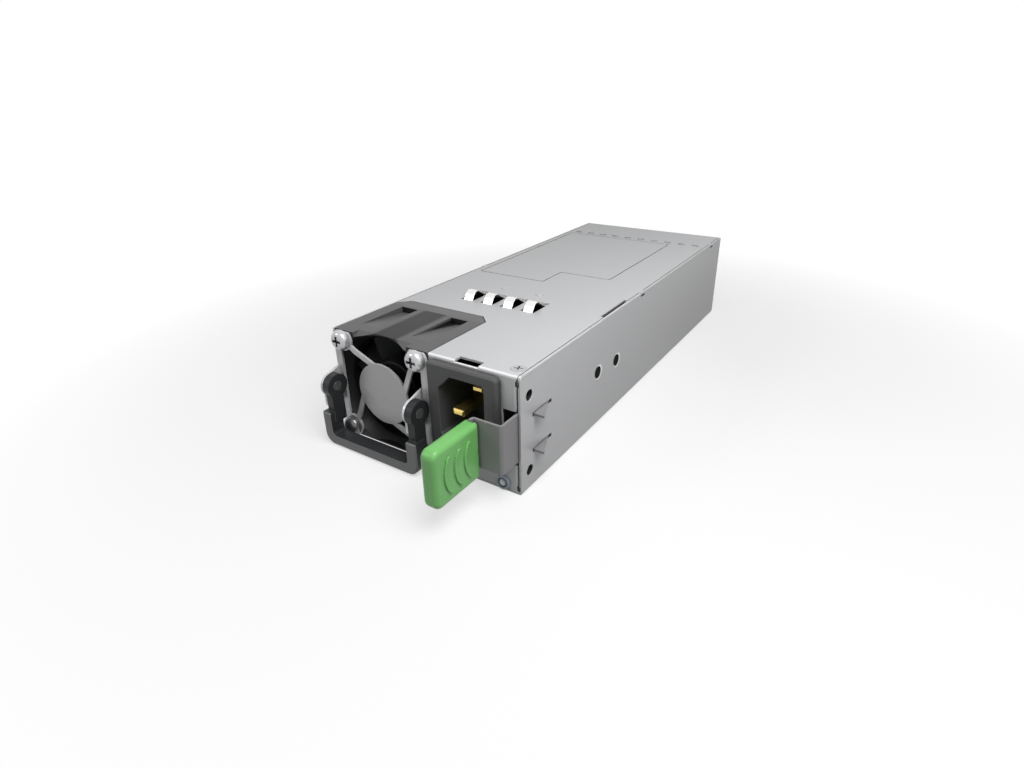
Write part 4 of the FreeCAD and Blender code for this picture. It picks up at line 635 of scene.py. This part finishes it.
def small_circuits():
    """Eight-legged circuits on the board, and their bent legs."""
    bodies, legs = [], []
    for x, y, _ in find_places(7, 3.0, 2.6, 3.0):
        bodies.append(eased(x - 1.9, x + 1.9, y - 2.4, y + 2.4, BOARD_TOP + 0.15, BOARD_TOP + 1.6, 0.15))
        for way in (-1, 1):
            for k in range(4):
                leg_y = y + (k - 1.5) * LEG_PITCH
                near, far = x + way * 1.85, x + way * 2.9
                path = [(near, leg_y, BOARD_TOP + 0.85), (near + way * 0.45, leg_y, BOARD_TOP + 0.8),
                        (near + way * 0.6, leg_y, BOARD_TOP + 0.15), (far, leg_y, BOARD_TOP + 0.1)]
                legs.append(wire(path, 0.17, 6, 3))
    piece("small_circuits", bodies, epoxy)
    piece("small_circuit_legs", legs, tin)


def small_capacitors():
    """Upright electrolytic capacitors with a bare top and a pale stripe."""
    sleeves, tops, stripes = [], [], []
    outline = [(2.3, 0), (2.5, 0.3), (2.5, 1.0), (2.32, 1.3), (2.5, 1.6), (2.5, 6.8), (2.35, 7.1), (2.0, 7.1)]
    for x, y, _ in find_places(6, 2.6, 2.6, 9.0):
        sleeves.append(round_form("z", x, y, BOARD_TOP, outline, 24))
        tops.append(round_form("z", x, y, BOARD_TOP, [(2.0, 6.9), (2.0, 7.04), (0.6, 7.0)], 24))
        stripes.append(stripe(x, y, 2.5, BOARD_TOP + 2, BOARD_TOP + 6.6, 0.9))
    piece("small_capacitor_sleeves", sleeves, sleeve)
    piece("small_capacitor_tops", tops, aluminium)
    piece("small_capacitor_stripes", stripes, insulator)


def stripe(x, y, radius, z0, z1, half_angle, facing=-0.6, steps=8):
    """Thin curved patch on an upright can, turned to facing, with angles in radians."""
    rings = []
    near, far = radius - 0.05, radius + 0.04
    for i in range(steps + 1):
        angle = facing + half_angle * (2 * i / steps - 1)
        c, s = math.cos(angle), math.sin(angle)
        rings.append([mm(x + near * c, y + near * s, z0), mm(x + far * c, y + far * s, z0),
                      mm(x + far * c, y + far * s, z1), mm(x + near * c, y + near * s, z1)])
    return skin(rings)


CAN_SPOTS = [(5 + 9.4 * i, 156 + 9.4 * j) for i in range(3) for j in range(3)]
CAN_RADIUS = 4.0
CAN_END = 21.0


def output_capacitor_details():
    """Bare can tops inside the sleeve's rolled edge, dark lines painted as the shade in their scored vents,
    and the pole stripes.
    """
    tops, score_shades, stripes = [], [], []
    outline = [(3.25, -0.1), (3.25, 0.03), (3.1, 0.06), (0.5, 0.06)]
    for x, y in CAN_SPOTS:
        tops.append(round_form("z", x, y, CAN_END, outline, 28))
        for a, b in ((2.4, 0.11), (0.11, 2.4)):
            score_shades.append(eased(x - a, x + a, y - b, y + b, CAN_END, CAN_END + 0.09, 0.03))
        stripes.append(stripe(x, y, CAN_RADIUS, BOARD_TOP + 3.4, CAN_END - 0.8, 0.45))
    piece("can_tops", tops, aluminium)
    piece("can_vent_score_shade", score_shades, epoxy)
    piece("can_stripes", stripes, insulator)


BULK_XS = (-21.6, 1.3)
BULK_Z = 17.0
BULK_END = 79.0


def bulk_capacitor_details():
    """Bare rear ends with a star of scores drawn as dark lines of painted shade, and a pale stripe along the
    top of each sleeve.
    """
    ends, score_shades, bands = [], [], []
    outline = [(8.9, -0.1), (8.9, 0.05), (8.6, 0.1), (1.0, 0.1)]
    section = ((10.95, 44), (11.04, 44), (11.04, 77.5), (10.95, 77.5))
    for x in BULK_XS:
        ends.append(round_form("y", x, BULK_END, BULK_Z, outline, 40))
        for k in range(3):
            angle = math.pi * k / 3
            c, s = math.cos(angle) * 6.0, math.sin(angle) * 6.0
            y = BULK_END + 0.1
            score_shades.append(wire([(x - c, y, BULK_Z - s), (x, y, BULK_Z), (x + c, y, BULK_Z + s)], 0.12, 6, 2))
        rings = []
        for i in range(9):
            angle = math.radians(52 + 3.5 * i)
            c, s = math.cos(angle), math.sin(angle)
            rings.append([mm(x + r * c, y, BULK_Z + r * s) for r, y in section])
        bands.append(skin(rings))
    piece("bulk_ends", ends, aluminium)
    piece("bulk_vent_score_shade", score_shades, epoxy)
    piece("bulk_stripes", bands, insulator)


# Power factor choke and output choke: x and y of the middle, reach of the leads to each side, and their top
RING_CHOKES = ((-4, 97, 13.6, 10), (-12, 164, 9.6, 9.5))
# Leads of the transformer
WINDING_XS = [-6 + 3.6 * k for k in range(6)]
WINDING_YS = (114.6, 147.4)


def solder_spots():
    """Where leads come through the board, in this order: bulk, output and X capacitors, relay, bridge
    rectifier, power transistors, transformer, ring chokes, line filter, fuse and upright board."""
    spots = [(x + way * 5, 39.5) for x in BULK_XS for way in (-1, 1)]
    spots += [(x + way * 1.75, y) for x, y in CAN_SPOTS for way in (-1, 1)]
    spots += [(x, y) for y in (49.75, 78.95) for x in (16.8, 29.7)]
    spots += [(x, y) for x in (16.5, 23.0, 29.5) for y in (88, 96)]
    spots += [(-24.9, 87 + 5.2 * k) for k in range(4)]
    spots += [(-24.4, y + 2.54 * k) for y in (112.1, 122.7) for k in (-1, 0, 1)]
    spots += [(x, y) for x in WINDING_XS for y in WINDING_YS]
    spots += [(x + way * out, y) for x, y, out, _ in RING_CHOKES for way in (-1, 1)]
    spots += [(23.5 + a, 64 + b) for a in (-6.5, 6.5) for b in (-7.5, 7.5)]
    spots += [(12.6, 42.5), (26.6, 42.5)] + [(25.8, 106 + 5.08 * k) for k in range(9)]
    return spots


def solder_joints():
    """Cones of solder round clipped leads, under the board."""
    shapes = []
    for x, y in solder_spots():
        spread_by = chance.uniform(0.9, 1.15)
        outline = [(1.0 * spread_by, 0.02), (0.8 * spread_by, -0.25), (0.5, -0.6), (0.38, -1.0), (0.36, -1.5),
                   (0.2, -1.6)]
        shapes.append(round_form("z", x, y, BOARD_UNDER, outline, 12))
    piece("solder_joints", shapes, tin)


def lead_wires():
    """Copper ends of the wound parts, bent down into the board, and the pads of the transformer's."""
    shapes = []
    foot = BOARD_TOP - 0.2
    for x in WINDING_XS:
        for y, way in ((115.2, -1), (146.8, 1)):
            path = [(x, y, 14.5), (x, y + way * 0.9, 12), (x, y + way * 0.6, 9), (x, y + way * 0.6, foot)]
            shapes.append(wire(path, 0.32))
    for x, y, out, top in RING_CHOKES:
        for way in (-1, 1):
            path = [(x + way * (out - 1.0), y, top), (x + way * out, y, top - 0.8), (x + way * out, y, 7.4),
                    (x + way * out, y, foot)]
            shapes.append(wire(path, 0.45))
    piece("winding_leads", shapes, copper)
    pads = [round_form("z", x, y, BOARD_TOP, [(0.95, -0.05), (0.9, 0.08), (0.6, 0.22), (0.45, 0.4)], 12)
            for x in WINDING_XS for y in WINDING_YS]
    piece("lead_pads", pads, tin)


CONTROL_FACE = 25.2
PART_FRONT = 24.75
PART_END_FRONT = 24.7
CHIP_STARTS = (110, 124, 138)
CHIP_LEGS = 8
CHIP_LEG_PITCH = 0.957
CHIP_LEG_BEND = ((24.3, 0), (24.4, 0.5), (25.0, 0.7), (25.12, 1.3))
PART_TRIES = 46
PART_ROWS = (9.2, 10.6, 25.2, 26.8, 28.4, 29.9)


def control_board_details():
    """Bent legs along the chips of the upright board, and its small parts."""
    legs, ends, blocks, places = [], [], [], []
    for y0 in CHIP_STARTS:
        for k in range(CHIP_LEGS):
            y = y0 + 0.65 + k * CHIP_LEG_PITCH
            for z, way in ((14.0, -1), (22.0, 1)):
                legs.append(wire([(x, y, z + way * out) for x, out in CHIP_LEG_BEND], 0.16, 6, 3))
    for _ in range(PART_TRIES):
        y, z = chance.uniform(106, 148), chance.choice(PART_ROWS)
        if any(abs(y - b) < 2.2 and abs(z - c) < 1.0 for b, c in places):
            continue
        places.append((y, z))
        blocks.append(eased(PART_FRONT, CONTROL_FACE, y - 0.7, y + 0.7, z - 0.36, z + 0.36, 0.04))
        for way in (-1, 1):
            y0, y1 = y + way * 0.65 - 0.15, y + way * 0.65 + 0.15
            ends.append(eased(PART_END_FRONT, CONTROL_FACE, y0, y1, z - 0.4, z + 0.4, 0.04))
    piece("control_chip_legs", legs, tin)
    piece("control_parts", blocks, epoxy)
    piece("control_part_ends", ends, tin)


DEVICE_SCREWS = ((-22.2, 112.1, 19.3), (-22.2, 122.7, 19.3), (-23.2, 95.0, 20.5))
HEAD_RADIUS = 1.9
HEAD_HEIGHT = 1.5


def device_screws():
    """Pan head screws on washers that hold the power devices to their heat sink, with dark crosses painted as
    the shade in their recesses.
    """
    heads, slot_shades = [], []
    outline = [(HEAD_RADIUS * 1.12, 0), (HEAD_RADIUS * 1.12, 0.35), (HEAD_RADIUS, 0.35),
               (HEAD_RADIUS, HEAD_HEIGHT * 0.5), (HEAD_RADIUS * 0.82, HEAD_HEIGHT * 0.85),
               (HEAD_RADIUS * 0.5, HEAD_HEIGHT), (0.05, HEAD_HEIGHT)]
    for x, y, z in DEVICE_SCREWS:
        heads.append(round_form("x", x, y, z, outline, 24))
        for a, b in ((1.0, 0.17), (0.17, 1.0)):
            slot_shades.append(eased(x + 1.3, x + 1.54, y - a, y + a, z - b, z + b, 0.02))
    piece("device_screws", heads, bright)
    piece("device_screw_slot_shade", slot_shades, epoxy)


def core_tape():
    """Yellow tape once round the transformer core."""
    rings = []
    section = ((-0.02, 129.0), (0.14, 129.0), (0.14, 133.0), (-0.02, 133.0))
    for x, z in ((-12.0, 6.3), (-12.0, 33.0), (18.0, 33.0), (18.0, 6.3)):
        way_x = -1 if x < 0 else 1
        way_z = 1 if z > 20 else 0
        rings.append([mm(x + way_x * r, y, z + way_z * r) for r, y in section])
    piece("core_tape", [skin(rings)], tape)


BEADS = ((-10.15, 44, 74, 2.0), (-19.5, 84, 90, 1.2), (11.2, 99, 107, 1.2), (-17.0, 157, 166, 1.0))


def bonding_beads():
    """White bonding compound between and under the large parts."""
    shapes = []
    steps, sides = 14, 14
    for x, y0, y1, half in BEADS:
        rings = []
        for i in range(steps + 1):
            t = i / steps
            swell = half * (0.25 + 0.75 * math.sin(math.pi * t) ** 0.4) * chance.uniform(0.85, 1.12)
            y = y0 + (y1 - y0) * t
            rings.append([mm(x + swell * math.sin(a), y, BOARD_TOP - 0.1 + max(swell * 0.8 * math.cos(a), 0))
                          for a in (2 * math.pi * k / sides for k in range(sides))])
        shapes.append(skin(rings))
    piece("bonding_beads", shapes, insulator)


RIVETS = ((49.0, 20.6), (64.0, 19.4))


def rivet_shadow_dishes():
    """Rolled heads of the two hollow rivets, as large as in the photograph: a dish of painted shadow in a rim
    of painted glint.
    """
    shadow_dishes, glint_rims = [], []
    rim = [(2.8, -0.05), (2.8, 0.03), (2.6, 0.07), (0.5, 0.07)]
    dish = [(2.2, -0.05), (2.2, 0.08), (2.1, 0.12), (1.9, 0.09), (0.4, 0.08)]
    for y, z in RIVETS:
        glint_rims.append(round_form("x", WALL_FACE, y + 0.4, z - 0.2, rim, 28))
        shadow_dishes.append(round_form("x", WALL_FACE, y - 0.35, z + 0.1, dish, 28))
    piece("rivet_glint_rims", glint_rims, rim_glint_white)
    piece("rivet_shadow_dishes", shadow_dishes, dish_shadow_black)


FAN_LEADS = ((wire_black, "wire_black", "black"), (copper, "copper_wire", "red"),
             (tape, "tape_yellow", "yellow"), (green, "grip_plastic", "green"))


def fan_leads():
    """Four thin leads from the fan's own board along the bottom of the duct to a plug on the main board."""
    for k, (look, slot, word) in enumerate(FAN_LEADS):
        x0 = -17.45 + k
        x1 = -12.02 + k * 1.25
        path = [(x0, 22.9, 12.6), (x0, 23.1, 9.0), (x0, 24.6, 4.6), (x0, 28.0, 3.9), (x0, 32.0, 4.0),
                (x1, 35.0, 6.6), (x1, 37.4, 7.9)]
        piece("fan_lead_" + word, [wire(path, 0.42)], look)
    plug = [eased(-12.9, -7.4, 37.0, 39.6, BOARD_TOP + 0.1, BOARD_TOP + 3.2, 0.2),
            eased(-13.1, -7.2, 39.6, 40.6, BOARD_TOP, BOARD_TOP + 3.4, 0.2)]
    piece("fan_plug", plug, insulator)


def lead_sleeves():
    """Shrunk sleeves over the joints behind the inlet."""
    shapes = [round_form("y", x, 25.2, z, [(1.0, 0), (1.35, 0.3), (1.4, 1.2), (1.3, 2.2), (1.15, 2.6)], 16)
              for x, z in ((14.8, 22.0), (19.25, 14.8), (19.25, 29.2))]
    piece("lead_sleeves", shapes, wire_black)


# The order fixes the order of random draws
for make in (small_circuits, small_capacitors, chip_parts, output_capacitor_details, bulk_capacitor_details,
             solder_joints, lead_wires, control_board_details, device_screws, core_tape, bonding_beads,
             rivet_shadow_dishes, fan_leads, lead_sleeves):
    make()


# Floor, light and background

PAPER_HALF = 6.0
PAPER_BELOW = 0.00002
FADE_FROM, FADE_TO = 0.08, 0.22
AIM = (0, -0.04, 0.02)
# Name, place, size and watts
LAMPS = (
    ("key", (0.15, -0.13, 0.31), 0.26, 1.08),
    ("side", (0.31, -0.19, 0.22), 0.2, 0.08),
    ("front", (-0.38, -0.50, 0.36), 0.16, 0.45),
)
AMBIENT = 0.12
WHITE = (1, 1, 1, 1)


def seen_by_rays(tree):
    """1 for rays that show a thing itself: from the camera, or mirrored or refracted in the object."""
    rays = add(tree, "ShaderNodeLightPath").outputs
    first = larger(tree, rays["Is Camera Ray"], rays["Is Glossy Ray"])
    return larger(tree, first, rays["Is Transmission Ray"])


def floor_material():
    """Pale paper that fades into the white background away from the object and is clear from below."""
    material, tree, shader = blank("floor")
    where = object_place(tree)
    base = mix(tree, spread(tree, noise(tree, where, 0.3)), (0.88, 0.88, 0.88, 1), (0.92, 0.92, 0.92, 1))
    seen = seen_by_rays(tree)
    tree.links.new(mix(tree, seen, (0.22, 0.22, 0.22, 1), base), shader.inputs["Base Color"])
    shader.inputs["Roughness"].default_value = 0.7
    shader.inputs["Specular IOR Level"].default_value = 0.1
    far = ramp(tree, vector_maths(tree, "LENGTH", where), FADE_FROM, FADE_TO, 0.5, 1.0)
    white = add(tree, "ShaderNodeEmission", inputs={"Color": WHITE, "Strength": 1.0})
    paper = add(tree, "ShaderNodeMixShader",
                inputs={0: times(tree, far, seen), 1: shader.outputs[0], 2: white.outputs[0]})
    below = add(tree, "ShaderNodeNewGeometry").outputs["Backfacing"]
    clear = add(tree, "ShaderNodeBsdfTransparent")
    both = add(tree, "ShaderNodeMixShader", inputs={0: below, 1: paper.outputs[0], 2: clear.outputs[0]})
    tree.links.new(both.outputs[0], tree.nodes["Material Output"].inputs["Surface"])
    return material


def studio():
    """Floor, lamps and a background that looks white and lights the object dimly."""
    mesh = bpy.data.meshes.new("floor")
    corners = [(x * PAPER_HALF, y * PAPER_HALF, 0) for x, y in ((-1, -1), (1, -1), (1, 1), (-1, 1))]
    mesh.from_pydata(corners, [], [(0, 1, 2, 3)])
    floor = bpy.data.objects.new("floor", mesh)
    floor.data.materials.append(floor_material())
    floor.location = (0, 0, cad_box[0][2] - PAPER_BELOW)
    scene.collection.objects.link(floor)
    for name, place, size, watts in LAMPS:
        data = bpy.data.lights.new(name, "AREA")
        data.shape = "DISK"
        data.size = size
        data.energy = watts
        lamp = bpy.data.objects.new(name, data)
        lamp.location = place
        lamp.rotation_euler = (Vector(AIM) - Vector(place)).to_track_quat("-Z", "Y").to_euler()
        scene.collection.objects.link(lamp)
    world = bpy.data.worlds.new("world")
    scene.world = world
    world.use_nodes = True
    tree = world.node_tree
    tree.nodes.clear()
    pale = add(tree, "ShaderNodeBackground", inputs={"Color": WHITE, "Strength": 1.0})
    dim = add(tree, "ShaderNodeBackground", inputs={"Color": WHITE, "Strength": AMBIENT})
    both = add(tree, "ShaderNodeMixShader",
               inputs={0: seen_by_rays(tree), 1: dim.outputs[0], 2: pale.outputs[0]})
    add(tree, "ShaderNodeOutputWorld", inputs={0: both.outputs[0]})
    scene.view_settings.view_transform = "Standard"


studio()
